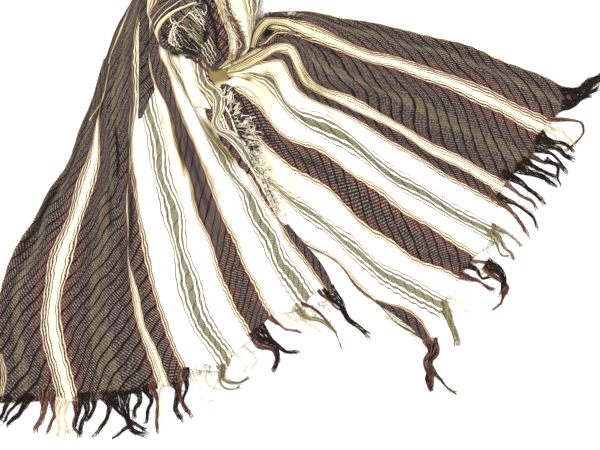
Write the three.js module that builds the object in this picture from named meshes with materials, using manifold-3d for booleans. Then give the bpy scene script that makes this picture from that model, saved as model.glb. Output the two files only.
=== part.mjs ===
// A striped cotton scarf tied in one loose knot and laid flat, its two fringed ends spread out.
// Millimetres, +Z up. The scarf lies on z = 0 and the origin is on that plane, under the knot.
import * as THREE from 'three';
import Module from 'manifold-3d';

const wasm = await Module();
wasm.setup();

// Cloth
const CLOTH_WIDTH = 654;
const WALL = 1.5;
const SEAM_GAP = 0.5;
const KNOT_GAP = 0.7;
const TROUGH_DEPTH = 1.0;

// Fringe
const STRIP_WIDTH = 4;
const STRIP_THICKNESS = 2.4;
const LOCK_HALF_WIDTH = 2.4;
const LOCK_HALF_HEIGHT = 1.1;
const LOCK_TIP_SHARE = 0.4;
const LOCK_REST_HEIGHT = 1.3;
const LOCK_STEPS = 5;

// Loop round the neck, laid closed: its left strand, the turn at the top and the seam with the knot
const LOOP_SEAM_Y = 200;
const LOOP_CENTRE_X = -4;
const LOOP_RADIUS = 64;
const LOOP_HALF_WIDTH = 62;
const LOOP_TURN_STEPS = 9;
const STRAND_START = { x: -80, y: 108, halfWidth: 52, height: 20 };
const STRAND_HEIGHT = 24;
const LOOP_END_HEIGHT = 40;

// Section of a gathered strand: a flat underside and rounded sides, pleated over the top
const SECTION_STEPS = 18;
const FOOT_SHARE = 0.84;
const ANKLE_SHARE = 0.96;
const ANKLE_HEIGHT_SHARE = 0.4;
const WIDEST_SHARE = 0.34;
const SHOULDER_POWER = 0.7;
const PLEATS = 5;
const PLEAT_DEPTH = 2.2;
const PLEAT_DRIFT = 0.35;
const BELOW_FLOOR = -5;

// The fans. Each line follows one place across the cloth from the knot to the hem.
// across: distance from the first selvedge on the flat cloth. x and y: its places at the fan's stations.
const LEFT_STATIONS = [0, 0.12, 0.2, 0.3, 0.4, 0.6, 0.8, 1];
const LEFT_LINES = [
  { across: 0,
    x: [-132, -176, -194, -222, -254, -338, -412, -408],
    y: [108, 20, -32, -108, -200, -340, -524, -706] },
  { across: 94,
    x: [-128, -162, -176, -200, -220, -276, -318, -284],
    y: [108, 20, -32, -116, -200, -356, -524, -702] },
  { across: 136,
    x: [-124, -156, -168, -188, -196, -232, -270, -236],
    y: [108, 20, -32, -116, -204, -356, -524, -702] },
  { across: 200,
    x: [-120, -146, -158, -168, -176, -194, -204, -176],
    y: [108, 20, -32, -116, -204, -360, -524, -694] },
  { across: 266,
    x: [-116, -136, -142, -146, -152, -146, -130, -82],
    y: [108, 20, -32, -116, -204, -372, -524, -676] },
  { across: 332,
    x: [-106, -124, -126, -130, -134, -108, -70, -24],
    y: [108, 20, -32, -116, -204, -364, -528, -638] },
  { across: 368,
    x: [-100, -116, -116, -110, -106, -70, -28, 44],
    y: [108, 16, -40, -116, -204, -360, -528, -642] },
  { across: 412,
    x: [-92, -108, -104, -84, -64, -26, 18, 70],
    y: [108, 8, -44, -120, -204, -364, -520, -604] },
  { across: 452,
    x: [-84, -104, -96, -66, -42, 6, 60, 102],
    y: [108, 4, -52, -120, -204, -362, -506, -578] },
  { across: 516,
    x: [-72, -78, -64, -36, -4, 56, 110, 148],
    y: [108, 0, -40, -124, -200, -344, -460, -530] },
  { across: 556,
    x: [-60, -68, -52, -16, 18, 86, 144, 198],
    y: [108, -4, -48, -120, -192, -312, -436, -518] },
  { across: 598,
    x: [-48, -54, -34, 2, 40, 116, 174, 232],
    y: [108, -8, -52, -130, -192, -300, -404, -486] },
  { across: 626,
    x: [-38, -36, -10, 28, 66, 132, 200, 262],
    y: [108, -12, -60, -124, -204, -312, -418, -492] },
  { across: 654,
    x: [-28, -20, 6, 52, 94, 148, 214, 274],
    y: [108, -12, -64, -116, -210, -320, -404, -488] },
];
const RIGHT_STATIONS = [0, 0.1, 0.2, 0.3, 0.45, 0.7, 1];
const RIGHT_LINES = [
  { across: 0,
    x: [104, 144, 210, 290, 384, 550, 756],
    y: [52, 76, 78, 64, 48, 4, -82] },
  { across: 94,
    x: [98, 136, 204, 290, 380, 530, 704],
    y: [36, 64, 56, 18, -12, -60, -142] },
  { across: 136,
    x: [88, 124, 200, 290, 380, 520, 682],
    y: [16, 40, 22, -14, -40, -96, -178] },
  { across: 200,
    x: [72, 120, 190, 252, 350, 494, 656],
    y: [0, 24, 14, -36, -70, -140, -222] },
  { across: 266,
    x: [52, 112, 174, 216, 300, 450, 610],
    y: [-32, 0, 12, -54, -96, -180, -266] },
  { across: 292,
    x: [44, 116, 172, 206, 290, 440, 600],
    y: [-40, -14, -6, -72, -110, -194, -286] },
  { across: 332,
    x: [48, 112, 156, 194, 276, 430, 594],
    y: [-46, -32, -24, -86, -126, -222, -316] },
  { across: 368,
    x: [52, 108, 142, 178, 264, 410, 600],
    y: [-50, -44, -48, -98, -140, -248, -356] },
  { across: 412,
    x: [12, 70, 124, 172, 256, 404, 584],
    y: [-40, -46, -64, -130, -180, -282, -386] },
  { across: 452,
    x: [4, 56, 112, 166, 250, 390, 554],
    y: [-58, -68, -104, -164, -204, -304, -408] },
  { across: 516,
    x: [32, 72, 114, 162, 236, 370, 516],
    y: [-96, -138, -184, -224, -272, -386, -462] },
  { across: 556,
    x: [80, 108, 140, 178, 244, 356, 502],
    y: [-192, -220, -252, -284, -326, -418, -498] },
  { across: 598,
    x: [92, 116, 146, 186, 260, 360, 476],
    y: [-228, -252, -280, -314, -374, -464, -532] },
  { across: 626,
    x: [96, 116, 136, 168, 260, 356, 462],
    y: [-260, -280, -306, -352, -408, -504, -582] },
  { across: 654,
    x: [92, 110, 130, 162, 254, 352, 454],
    y: [-274, -294, -316, -360, -416, -512, -590] },
];

// Folds that run out from the knot. from and to: the part of the way to the hem that each one takes.
const LEFT_RIDGES = [
  { across: 12, halfWidth: 14, height: 7, from: 0.0, to: 1.0 },
  { across: 62, halfWidth: 24, height: 9, from: 0.1, to: 0.9 },
  { across: 118, halfWidth: 20, height: 8, from: 0.0, to: 1.0 },
  { across: 172, halfWidth: 24, height: 10, from: 0.2, to: 1.0 },
  { across: 232, halfWidth: 24, height: 11, from: 0.0, to: 0.8 },
  { across: 300, halfWidth: 24, height: 13, from: 0.1, to: 1.0 },
  { across: 352, halfWidth: 18, height: 9, from: 0.0, to: 1.0 },
  { across: 396, halfWidth: 18, height: 8, from: 0.2, to: 0.9 },
  { across: 440, halfWidth: 18, height: 9, from: 0.0, to: 1.0 },
  { across: 486, halfWidth: 20, height: 11, from: 0.1, to: 0.8 },
  { across: 538, halfWidth: 20, height: 8, from: 0.1, to: 1.0 },
  { across: 586, halfWidth: 20, height: 8, from: 0.2, to: 1.0 },
  { across: 642, halfWidth: 16, height: 6, from: 0.3, to: 1.0 },
];
const RIGHT_RIDGES = [
  { across: 12, halfWidth: 14, height: 6, from: 0.0, to: 1.0 },
  { across: 64, halfWidth: 24, height: 10, from: 0.2, to: 1.0 },
  { across: 116, halfWidth: 20, height: 11, from: 0.1, to: 0.8 },
  { across: 168, halfWidth: 24, height: 9, from: 0.1, to: 1.0 },
  { across: 226, halfWidth: 24, height: 10, from: 0.2, to: 0.9 },
  { across: 280, halfWidth: 20, height: 12, from: 0.0, to: 1.0 },
  { across: 330, halfWidth: 18, height: 9, from: 0.2, to: 1.0 },
  { across: 372, halfWidth: 18, height: 8, from: 0.1, to: 0.9 },
  { across: 420, halfWidth: 20, height: 10, from: 0.1, to: 1.0 },
  { across: 476, halfWidth: 22, height: 10, from: 0.4, to: 1.0 },
  { across: 532, halfWidth: 22, height: 8, from: 0.4, to: 0.9 },
  { across: 584, halfWidth: 20, height: 8, from: 0.4, to: 1.0 },
  { across: 640, halfWidth: 16, height: 6, from: 0.4, to: 1.0 },
];

// How strongly the folds stand along the way to the hem
const FOLD_STATIONS = [0, 0.2, 0.5, 1];
const FOLD_STRENGTH = [0.2, 0.6, 1, 0.45];
const FOLD_FADE = 0.12;

// Wide low swells under the folds. The left end climbs over the first part of the right end.
const LEFT_SWELLS = [
  { across: 330, acrossReach: 260, along: 0, alongReach: 0.16, height: 17 },
  { across: 660, acrossReach: 70, along: 0.34, alongReach: 0.17, height: 10 },
  { across: 660, acrossReach: 60, along: 0.6, alongReach: 0.12, height: 8 },
  { across: 250, acrossReach: 80, along: 0.62, alongReach: 0.2, height: 4 },
];
const RIGHT_SWELLS = [
  { across: 180, acrossReach: 220, along: 0, alongReach: 0.12, height: 8 },
  { across: 150, acrossReach: 90, along: 0.22, alongReach: 0.1, height: 6 },
  { across: 400, acrossReach: 90, along: 0.6, alongReach: 0.2, height: 4 },
];

// Where the solids are sampled along and across a fan
const ALONG_STEPS = [
  0, 0.05, 0.1, 0.15, 0.2, 0.25, 0.3, 0.36, 0.42, 0.5, 0.58, 0.66, 0.74, 0.82, 0.9, 0.96, 1,
];
const FLANK_SHARE = 0.8;
const CLOSEST_STEP = 3;

// The turn of cloth over the knot, from its seam with the loop down to its tip
const KNOT_SECTIONS = [
  { y: 200, left: -2, right: 122, height: 40 },
  { y: 168, left: -46, right: 124, height: 42 },
  { y: 138, left: -84, right: 126, height: 44 },
  { y: 108, left: -102, right: 124, height: 46 },
  { y: 72, left: -104, right: 116, height: 48 },
  { y: 34, left: -90, right: 106, height: 50 },
  { y: 10, left: -80, right: 100, height: 48 },
  { y: 0, left: -70, right: 98, height: 45 },
  { y: -10, left: -26, right: 90, height: 39 },
  { y: -20, left: 4, right: 68, height: 30 },
  { y: -30, left: 16, right: 52, height: 20 },
  { y: -38, left: 26, right: 42, height: 10 },
];

// Fringe locks. across: place on the hem. heading: degrees from +X. turn: how far the lock bends.
const LEFT_LOCKS = [
  { across: 12, length: 52, heading: -118, turn: 10 },
  { across: 48, length: 64, heading: -129, turn: 12 },
  { across: 74, length: 65, heading: -108, turn: -6 },
  { across: 90, length: 70, heading: -103, turn: 4 },
  { across: 104, length: 72, heading: -94, turn: 6 },
  { across: 116, length: 64, heading: -90, turn: 4 },
  { across: 130, length: 70, heading: -92, turn: 6 },
  { across: 146, length: 74, heading: -98, turn: 10 },
  { across: 162, length: 44, heading: -96, turn: 10 },
  { across: 182, length: 70, heading: -80, turn: -14 },
  { across: 202, length: 92, heading: -58, turn: 18 },
  { across: 220, length: 60, heading: -66, turn: 30 },
  { across: 236, length: 46, heading: -78, turn: 8 },
  { across: 250, length: 78, heading: -80, turn: -10 },
  { across: 274, length: 70, heading: -88, turn: 0 },
  { across: 298, length: 92, heading: -80, turn: 8 },
  { across: 316, length: 84, heading: -76, turn: 12 },
  { across: 334, length: 72, heading: -62, turn: 10 },
  { across: 352, length: 48, heading: -50, turn: 20 },
  { across: 370, length: 66, heading: -50, turn: 36 },
  { across: 410, length: 56, heading: -40, turn: 14 },
  { across: 436, length: 50, heading: -50, turn: 10 },
  { across: 466, length: 78, heading: -58, turn: -18 },
  { across: 486, length: 74, heading: -50, turn: -14 },
  { across: 508, length: 66, heading: -44, turn: -10 },
  { across: 526, length: 62, heading: -34, turn: 6 },
  { across: 546, length: 82, heading: -32, turn: 8 },
  { across: 572, length: 80, heading: -36, turn: -4 },
  { across: 600, length: 52, heading: -38, turn: 4 },
  { across: 618, length: 54, heading: -40, turn: -6 },
  { across: 644, length: 108, heading: -46, turn: 6 },
];
const RIGHT_LOCKS = [
  { across: 8, length: 70, heading: 30, turn: 10 },
  { across: 26, length: 66, heading: 14, turn: 14 },
  { across: 48, length: 48, heading: -4, turn: 10 },
  { across: 70, length: 46, heading: -18, turn: 12 },
  { across: 96, length: 92, heading: -14, turn: -46 },
  { across: 116, length: 50, heading: -36, turn: -10 },
  { across: 138, length: 72, heading: -30, turn: 8 },
  { across: 160, length: 64, heading: -28, turn: 4 },
  { across: 182, length: 70, heading: -22, turn: 6 },
  { across: 204, length: 60, heading: -28, turn: -8 },
  { across: 226, length: 78, heading: -24, turn: 2 },
  { across: 250, length: 64, heading: -34, turn: -6 },
  { across: 272, length: 70, heading: -36, turn: 0 },
  { across: 300, length: 58, heading: -42, turn: 6 },
  { across: 326, length: 86, heading: -44, turn: -6 },
  { across: 352, length: 50, heading: -38, turn: -10 },
  { across: 382, length: 50, heading: -38, turn: 0 },
  { across: 406, length: 56, heading: -44, turn: -8 },
  { across: 438, length: 48, heading: -34, turn: 6 },
  { across: 462, length: 52, heading: -24, turn: -8 },
  { across: 484, length: 64, heading: -26, turn: -10 },
  { across: 506, length: 58, heading: -30, turn: -16 },
  { across: 540, length: 60, heading: -44, turn: -10 },
  { across: 566, length: 72, heading: -58, turn: 0 },
  { across: 590, length: 80, heading: -66, turn: -6 },
  { across: 618, length: 44, heading: -70, turn: -10 },
  { across: 644, length: 96, heading: -86, turn: -8 },
];

const COLOURS = { striped: 0x8f8172, fringe: 0x4a3430 };

// A curve through values at knots that never swings past them
function slopesAt(knots, values) {
  const last = knots.length - 1;
  const step = (i) => knots[i + 1] - knots[i];
  const rise = (i) => (values[i + 1] - values[i]) / step(i);
  return knots.map((_, i) => {
    if (i === 0) return rise(0);
    if (i === last) return rise(last - 1);
    const before = rise(i - 1);
    const after = rise(i);
    const middle = (before * step(i) + after * step(i - 1)) / (step(i) + step(i - 1));
    const limit = Math.min(Math.abs(before), Math.abs(after), Math.abs(middle) / 2);
    return (Math.sign(before) + Math.sign(after)) * limit;
  });
}

function curve(knots, values) {
  const slopes = slopesAt(knots, values);
  return (at) => {
    let i = 0;
    while (i < knots.length - 2 && at > knots[i + 1]) i += 1;
    const span = knots[i + 1] - knots[i];
    const t = (at - knots[i]) / span;
    const start = values[i] + t * t * (3 - 2 * t) * (values[i + 1] - values[i]);
    const bend = t * (1 - t) * ((1 - t) * slopes[i] - t * slopes[i + 1]);
    return start + span * bend;
  };
}

// The plan of a fan: where the place across, along lies on the floor
function fanPlan(stations, lines) {
  const acrossKnots = lines.map((line) => line.across);
  const xLines = lines.map((line) => curve(stations, line.x));
  const yLines = lines.map((line) => curve(stations, line.y));
  return (along) => {
    const x = curve(acrossKnots, xLines.map((line) => line(along)));
    const y = curve(acrossKnots, yLines.map((line) => line(along)));
    return (across) => ({ x: x(across), y: y(across) });
  };
}

const foldStrength = curve(FOLD_STATIONS, FOLD_STRENGTH);
const bell = (distance) => Math.exp(-distance * distance);
const fade = (at, from, to) => {
  const start = from === 0 ? 1 : THREE.MathUtils.smoothstep(at, from - FOLD_FADE, from + FOLD_FADE);
  const end = to === 1 ? 1 : 1 - THREE.MathUtils.smoothstep(at, to - FOLD_FADE, to + FOLD_FADE);
  return start * end;
};

// Height of the underside of the cloth over the floor, flat on it in the troughs
function underside(fan, across, along) {
  let folds = 0;
  for (const ridge of fan.ridges) {
    const share = fade(along, ridge.from, ridge.to) * bell((across - ridge.across) / ridge.halfWidth);
    folds += ridge.height * share;
  }
  let swells = 0;
  for (const swell of fan.swells) {
    const sideways = bell((across - swell.across) / swell.acrossReach);
    swells += swell.height * sideways * bell((along - swell.along) / swell.alongReach);
  }
  return Math.max(0, folds * foldStrength(along) + swells - TROUGH_DEPTH);
}

// Places across a fan: the crest and flanks of each fold and the trough before it
function acrossSteps(ridges) {
  const steps = [0, CLOTH_WIDTH];
  ridges.forEach((ridge, i) => {
    const flank = ridge.halfWidth * FLANK_SHARE;
    steps.push(ridge.across, ridge.across - flank, ridge.across + flank);
    if (i > 0) steps.push((ridge.across + ridges[i - 1].across) / 2);
  });
  const inside = steps.filter((step) => step >= 0 && step <= CLOTH_WIDTH).sort((a, b) => a - b);
  return inside.filter((step, i) => i === 0 || step - inside[i - 1] > CLOSEST_STEP);
}

function fanGrid(fan) {
  const across = acrossSteps(fan.ridges);
  const rows = ALONG_STEPS.map((along) => {
    const place = fan.plan(along);
    return across.map((a) => {
      const { x, y } = place(a);
      return new THREE.Vector3(x, y, underside(fan, a, along));
    });
  });
  return { across, rows };
}

// Directions in which the cloth has its thickness: straight up at the knot and at the hem
function gridNormals(rows) {
  const clamp = (value, count) => THREE.MathUtils.clamp(value, 0, count - 1);
  const at = (j, i) => rows[clamp(j, rows.length)][clamp(i, rows[0].length)];
  return rows.map((row, j) => row.map((_, i) => {
    if (j === 0 || j === rows.length - 1) return new THREE.Vector3(0, 0, 1);
    const alongStep = at(j + 1, i).clone().sub(at(j - 1, i));
    const acrossStep = at(j, i + 1).clone().sub(at(j, i - 1));
    const normal = alongStep.cross(acrossStep).normalize();
    return normal.z < 0 ? normal.negate() : normal;
  }));
}

// A closed body between two grids of the same size, lower and upper
function slab(lower, upper) {
  const rowCount = lower.length;
  const columnCount = lower[0].length;
  const points = [...lower.flat(), ...upper.flat()];
  const layer = rowCount * columnCount;
  const id = (j, i, top) => (top ? layer : 0) + j * columnCount + i;
  const triangles = [];
  const quad = (a, b, c, d) => triangles.push([a, b, c], [a, c, d]);
  for (let j = 0; j < rowCount - 1; j += 1) {
    for (let i = 0; i < columnCount - 1; i += 1) {
      quad(id(j, i, true), id(j, i + 1, true), id(j + 1, i + 1, true), id(j + 1, i, true));
      quad(id(j, i, false), id(j + 1, i, false), id(j + 1, i + 1, false), id(j, i + 1, false));
    }
  }
  for (let i = 0; i < columnCount - 1; i += 1) {
    quad(id(0, i, false), id(0, i + 1, false), id(0, i + 1, true), id(0, i, true));
    const j = rowCount - 1;
    quad(id(j, i + 1, false), id(j, i, false), id(j, i, true), id(j, i + 1, true));
  }
  for (let j = 0; j < rowCount - 1; j += 1) {
    quad(id(j + 1, 0, false), id(j, 0, false), id(j, 0, true), id(j + 1, 0, true));
    const i = columnCount - 1;
    quad(id(j, i, false), id(j + 1, i, false), id(j + 1, i, true), id(j, i, true));
  }
  return solid(points, triangles);
}

// A manifold solid from points and triangles, turned the right way out
function solid(points, triangles) {
  const vertProperties = new Float32Array(points.flatMap((p) => [p.x, p.y, p.z]));
  const volume = triangles.reduce((sum, [a, b, c]) => {
    const cross = points[b].clone().cross(points[c]);
    return sum + points[a].dot(cross);
  }, 0);
  const outward = volume > 0 ? triangles : triangles.map(([a, b, c]) => [a, c, b]);
  return new wasm.Manifold(new wasm.Mesh({
    numProp: 3,
    vertProperties,
    triVerts: new Uint32Array(outward.flat()),
  }));
}

const raised = (rows, normals, distance) => rows.map((row, j) => row.map((p, i) => (
  p.clone().addScaledVector(normals[j][i], distance))));
const onFloor = (rows, z) => rows.map((row) => row.map((p) => new THREE.Vector3(p.x, p.y, z)));

// Moves the border of a grid outward in plan, so that a cut made with it leaves a gap
function widened(rows, distance) {
  const lastRow = rows.length - 1;
  const lastColumn = rows[0].length - 1;
  return rows.map((row, j) => row.map((p, i) => {
    const moved = p.clone();
    const push = (inner) => {
      const out = p.clone().sub(inner).setZ(0);
      moved.addScaledVector(out.normalize(), distance);
    };
    if (i === 0) push(row[1]);
    if (i === lastColumn) push(row[lastColumn - 1]);
    if (j === 0) push(rows[1][i]);
    if (j === lastRow) push(rows[lastRow - 1][i]);
    return moved;
  }));
}

// Everything from below the floor to just over a fan, with the wall itself
function fanVolume(grid, normals) {
  const shifted = (rows, distance) => rows.map((row) => row.map((p) => p.clone().setZ(p.z + distance)));
  const outer = shifted(raised(grid.rows, normals, WALL), KNOT_GAP);
  const top = widened(outer, KNOT_GAP);
  return slab(onFloor(top, BELOW_FLOOR), top).add(slab(shifted(grid.rows, -KNOT_GAP), outer));
}

// Outline of a gathered strand's section, as [sideways, up], from the right foot over the top
function sectionOutline(halfWidth, height, pleatPhase) {
  const widest = height * WIDEST_SHARE;
  const ankle = widest * ANKLE_HEIGHT_SHARE;
  const outline = [[FOOT_SHARE * halfWidth, 0], [ANKLE_SHARE * halfWidth, ankle]];
  for (let i = 0; i <= SECTION_STEPS; i += 1) {
    const turn = (Math.PI * i) / SECTION_STEPS;
    const reach = Math.sign(Math.cos(turn)) * Math.abs(Math.cos(turn)) ** SHOULDER_POWER;
    const pleat = Math.sin(turn) * PLEAT_DEPTH * Math.cos(2 * PLEATS * turn + pleatPhase);
    const lift = Math.sin(turn) ** SHOULDER_POWER;
    outline.push([halfWidth * reach, widest + (height - widest) * lift + pleat]);
  }
  outline.push([-ANKLE_SHARE * halfWidth, ankle], [-FOOT_SHARE * halfWidth, 0]);
  return outline;
}

// A strand through sections: centre and side in plan, half width and height
function strand(sections, outset = 0) {
  const rings = sections.map((section, j) => {
    const { halfWidth, height } = section;
    const outline = sectionOutline(halfWidth + outset, height + outset, j * PLEAT_DRIFT);
    return outline.map(([sideways, up]) => new THREE.Vector3(
      section.centre.x + section.side.x * sideways,
      section.centre.y + section.side.y * sideways,
      outset > 0 && up === 0 ? BELOW_FLOOR : up,
    ));
  });
  const count = rings[0].length;
  const points = rings.flat();
  const triangles = [];
  for (let j = 0; j < rings.length - 1; j += 1) {
    for (let i = 0; i < count; i += 1) {
      const next = (i + 1) % count;
      const a = j * count + i;
      const b = j * count + next;
      triangles.push([a, b, b + count], [a, b + count, a + count]);
    }
  }
  const cap = (ringIndex, flip) => {
    const ring = rings[ringIndex];
    const centre = ring.reduce((sum, p) => sum.add(p), new THREE.Vector3()).divideScalar(count);
    const hub = points.push(centre) - 1;
    for (let i = 0; i < count; i += 1) {
      const a = ringIndex * count + i;
      const b = ringIndex * count + ((i + 1) % count);
      triangles.push(flip ? [hub, b, a] : [hub, a, b]);
    }
  };
  cap(0, true);
  cap(rings.length - 1, false);
  return solid(points, triangles);
}

// Left strand and the turn of the loop, up to its seam with the knot
function loopSections() {
  const turnStart = {
    centre: new THREE.Vector2(LOOP_CENTRE_X - LOOP_RADIUS, LOOP_SEAM_Y),
    halfWidth: LOOP_HALF_WIDTH,
    height: STRAND_HEIGHT,
  };
  const foot = {
    centre: new THREE.Vector2(STRAND_START.x, STRAND_START.y + SEAM_GAP),
    side: new THREE.Vector2(1, 0),
    halfWidth: STRAND_START.halfWidth,
    height: STRAND_START.height,
  };
  const way = turnStart.centre.clone().sub(foot.centre).normalize();
  const middle = {
    centre: foot.centre.clone().add(turnStart.centre).divideScalar(2),
    side: new THREE.Vector2(way.y, -way.x),
    halfWidth: (foot.halfWidth + turnStart.halfWidth) / 2,
    height: (foot.height + turnStart.height) / 2,
  };
  const sections = [foot, middle];
  for (let i = 0; i <= LOOP_TURN_STEPS; i += 1) {
    const share = i / LOOP_TURN_STEPS;
    const out = new THREE.Vector2(-Math.cos(Math.PI * share), Math.sin(Math.PI * share));
    const centre = new THREE.Vector2(LOOP_CENTRE_X, LOOP_SEAM_Y).addScaledVector(out, LOOP_RADIUS);
    if (i === LOOP_TURN_STEPS) centre.y += SEAM_GAP;
    sections.push({
      centre,
      side: out.clone().negate(),
      halfWidth: LOOP_HALF_WIDTH,
      height: THREE.MathUtils.lerp(STRAND_HEIGHT, LOOP_END_HEIGHT, share),
    });
  }
  return sections;
}

function knotSections() {
  return KNOT_SECTIONS.map((row) => ({
    centre: new THREE.Vector2((row.left + row.right) / 2, row.y),
    side: new THREE.Vector2(1, 0),
    halfWidth: (row.right - row.left) / 2,
    height: row.height,
  }));
}

const largest = (manifold) => manifold.decompose().reduce((a, b) => (a.volume() > b.volume() ? a : b));

// One tapered lock of fringe: four flat sides along a bent line that comes down to the floor
function lock(root, row) {
  const step = row.length / LOCK_STEPS;
  const centre = root.clone();
  const points = [];
  const triangles = [];
  for (let k = 0; k <= LOCK_STEPS; k += 1) {
    const share = k / LOCK_STEPS;
    const heading = THREE.MathUtils.degToRad(row.heading + row.turn * share);
    const forward = new THREE.Vector3(Math.cos(heading), Math.sin(heading), 0);
    const side = new THREE.Vector3(-forward.y, forward.x, 0);
    if (k > 0) centre.addScaledVector(forward, step);
    const fall = (1 - share) ** 2;
    centre.z = LOCK_REST_HEIGHT + (root.z - LOCK_REST_HEIGHT) * fall;
    const taper = 1 - (1 - LOCK_TIP_SHARE) * share;
    const halfWidth = LOCK_HALF_WIDTH * taper;
    const halfHeight = LOCK_HALF_HEIGHT * taper;
    points.push(
      centre.clone().addScaledVector(side, halfWidth),
      centre.clone().add(new THREE.Vector3(0, 0, halfHeight)),
      centre.clone().addScaledVector(side, -halfWidth),
      centre.clone().add(new THREE.Vector3(0, 0, -halfHeight)),
    );
  }
  for (let k = 0; k < LOCK_STEPS; k += 1) {
    for (let i = 0; i < 4; i += 1) {
      const a = 4 * k + i;
      const b = 4 * k + ((i + 1) % 4);
      triangles.push([a, b, b + 4], [a, b + 4, a + 4]);
    }
  }
  const end = 4 * LOCK_STEPS;
  triangles.push([0, 3, 2], [0, 2, 1], [end, end + 1, end + 2], [end, end + 2, end + 3]);
  return solid(points, triangles);
}

// A narrow strip just past the hem with the locks fused to it
function fringe(fan, grid, locks) {
  const hem = grid.rows.at(-1);
  const before = grid.rows.at(-2);
  const out = hem.map((p, i) => {
    const hemStep = hem[Math.min(i + 1, hem.length - 1)].clone().sub(hem[Math.max(i - 1, 0)]);
    const square = new THREE.Vector3(hemStep.y, -hemStep.x, 0).normalize();
    return square.dot(p.clone().sub(before[i])) < 0 ? square.negate() : square;
  });
  const offset = (distance) => hem.map((p, i) => p.clone().addScaledVector(out[i], distance));
  const lower = [offset(SEAM_GAP), offset(SEAM_GAP + STRIP_WIDTH)];
  const upper = lower.map((row) => row.map((p) => p.clone().setZ(p.z + STRIP_THICKNESS)));
  let body = slab(lower, upper);
  const middle = offset(SEAM_GAP + STRIP_WIDTH / 2);
  const middleX = curve(grid.across, middle.map((p) => p.x));
  const middleY = curve(grid.across, middle.map((p) => p.y));
  const middleZ = curve(grid.across, hem.map((p) => p.z));
  for (const row of locks) {
    const rootZ = middleZ(row.across) + LOCK_REST_HEIGHT;
    const root = new THREE.Vector3(middleX(row.across), middleY(row.across), rootZ);
    body = body.add(lock(root, row));
  }
  return largest(body);
}

function mesh(name, manifold, colour) {
  const { vertProperties, triVerts } = manifold.getMesh();
  const geometry = new THREE.BufferGeometry();
  geometry.setAttribute('position', new THREE.BufferAttribute(new Float32Array(vertProperties), 3));
  geometry.setIndex(new THREE.BufferAttribute(new Uint32Array(triVerts), 1));
  const material = new THREE.MeshStandardMaterial({ color: colour, roughness: 0.9, metalness: 0 });
  const piece = new THREE.Mesh(geometry, material);
  piece.name = name;
  return piece;
}

const left = { plan: fanPlan(LEFT_STATIONS, LEFT_LINES), ridges: LEFT_RIDGES, swells: LEFT_SWELLS };
const right = { plan: fanPlan(RIGHT_STATIONS, RIGHT_LINES), ridges: RIGHT_RIDGES, swells: RIGHT_SWELLS };
const scarf = new THREE.Group();
const volumes = [];
for (const [name, fan, locks] of [['left', left, LEFT_LOCKS], ['right', right, RIGHT_LOCKS]]) {
  const grid = fanGrid(fan);
  const normals = gridNormals(grid.rows);
  volumes.push(fanVolume(grid, normals));
  scarf.add(mesh(`${name}_end`, slab(grid.rows, raised(grid.rows, normals, WALL)), COLOURS.striped));
  scarf.add(mesh(`${name}_fringe`, fringe(fan, grid, locks), COLOURS.fringe));
}
const loop = loopSections();
scarf.add(mesh('neck_loop', strand(loop), COLOURS.striped));
let knot = strand(knotSections());
for (const volume of [...volumes, strand(loop, SEAM_GAP)]) knot = knot.subtract(volume);
scarf.add(mesh('knot_wrap', largest(knot), COLOURS.striped));

export default scarf;
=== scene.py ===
# A striped, crinkled cotton scarf tied in one loose knot and laid flat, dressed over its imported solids.
# Places on the floor are in millimetres with the origin under the knot, as the solids have them.
import math

import bpy
import numpy as np
from mathutils.bvhtree import BVHTree
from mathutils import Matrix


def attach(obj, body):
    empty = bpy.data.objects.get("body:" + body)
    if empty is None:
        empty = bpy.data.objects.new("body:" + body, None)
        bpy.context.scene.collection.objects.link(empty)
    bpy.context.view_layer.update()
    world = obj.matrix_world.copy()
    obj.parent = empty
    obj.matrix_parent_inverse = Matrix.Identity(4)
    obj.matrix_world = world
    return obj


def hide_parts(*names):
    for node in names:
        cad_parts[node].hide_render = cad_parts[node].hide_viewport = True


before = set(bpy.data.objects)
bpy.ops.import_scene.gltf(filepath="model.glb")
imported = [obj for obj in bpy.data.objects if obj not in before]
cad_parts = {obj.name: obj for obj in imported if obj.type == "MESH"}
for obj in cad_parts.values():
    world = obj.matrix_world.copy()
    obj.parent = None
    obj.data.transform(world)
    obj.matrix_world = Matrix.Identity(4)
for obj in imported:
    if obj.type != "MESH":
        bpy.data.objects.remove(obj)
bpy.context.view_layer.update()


def table(columns, rows):
    """Rows of values, each with the name of its column."""
    return [dict(zip(columns.split(), row)) for row in rows]


MM = 0.001
CLOTH_WIDTH = 654.0
CLOTH_LENGTH = 740.0
LEFT_LENGTH = 740.0
RIGHT_LENGTH = 650.0
WALL = 1.5
SHELL = 0.8
TROUGH_DEPTH = 1.0
FLOOR_GAP = 0.02
ROLL_FLOOR_GAP = 1.0
RAY_START = 200.0

# Grids of the shells
FAN_ACROSS = 216
FAN_ALONG = 176
FOLD_COLUMNS = 22
KNOT_ROWS = 150
KNOT_COLUMNS = 150
LOOP_ROWS = 150
LOOP_COLUMNS = 160

# Steps of a path for each place that is given on it
GROOVE_STEPS = 3
FOLD_STEPS = 12
TASSEL_STEPS = 8
CORD_STEPS = 6

# Camera straight over the middle of the photograph
VIEW_CENTRE = (200.0, -350.0)
VIEW_WIDTH = 1200.0
VIEW_HEIGHT = 3000.0
VIEW_REACH = 50.0
SENSOR = 36.0

# Lights, floor and sky, in metres and watts
LIGHTS = table("name place aim size power", [
    ("key", (-0.5, 0.9, 2.2), (0.15, -0.25, 0), 1.0, 44),
    ("fill", (1.8, -1.4, 2.2), (0.2, -0.3, 0), 1.6, 12),
])
WORLD_STRENGTH = 1.05
FLOOR_REACH = 12.0
FLOOR_GREY = 0.93
FLOOR_ROUGHNESS = 0.9

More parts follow.
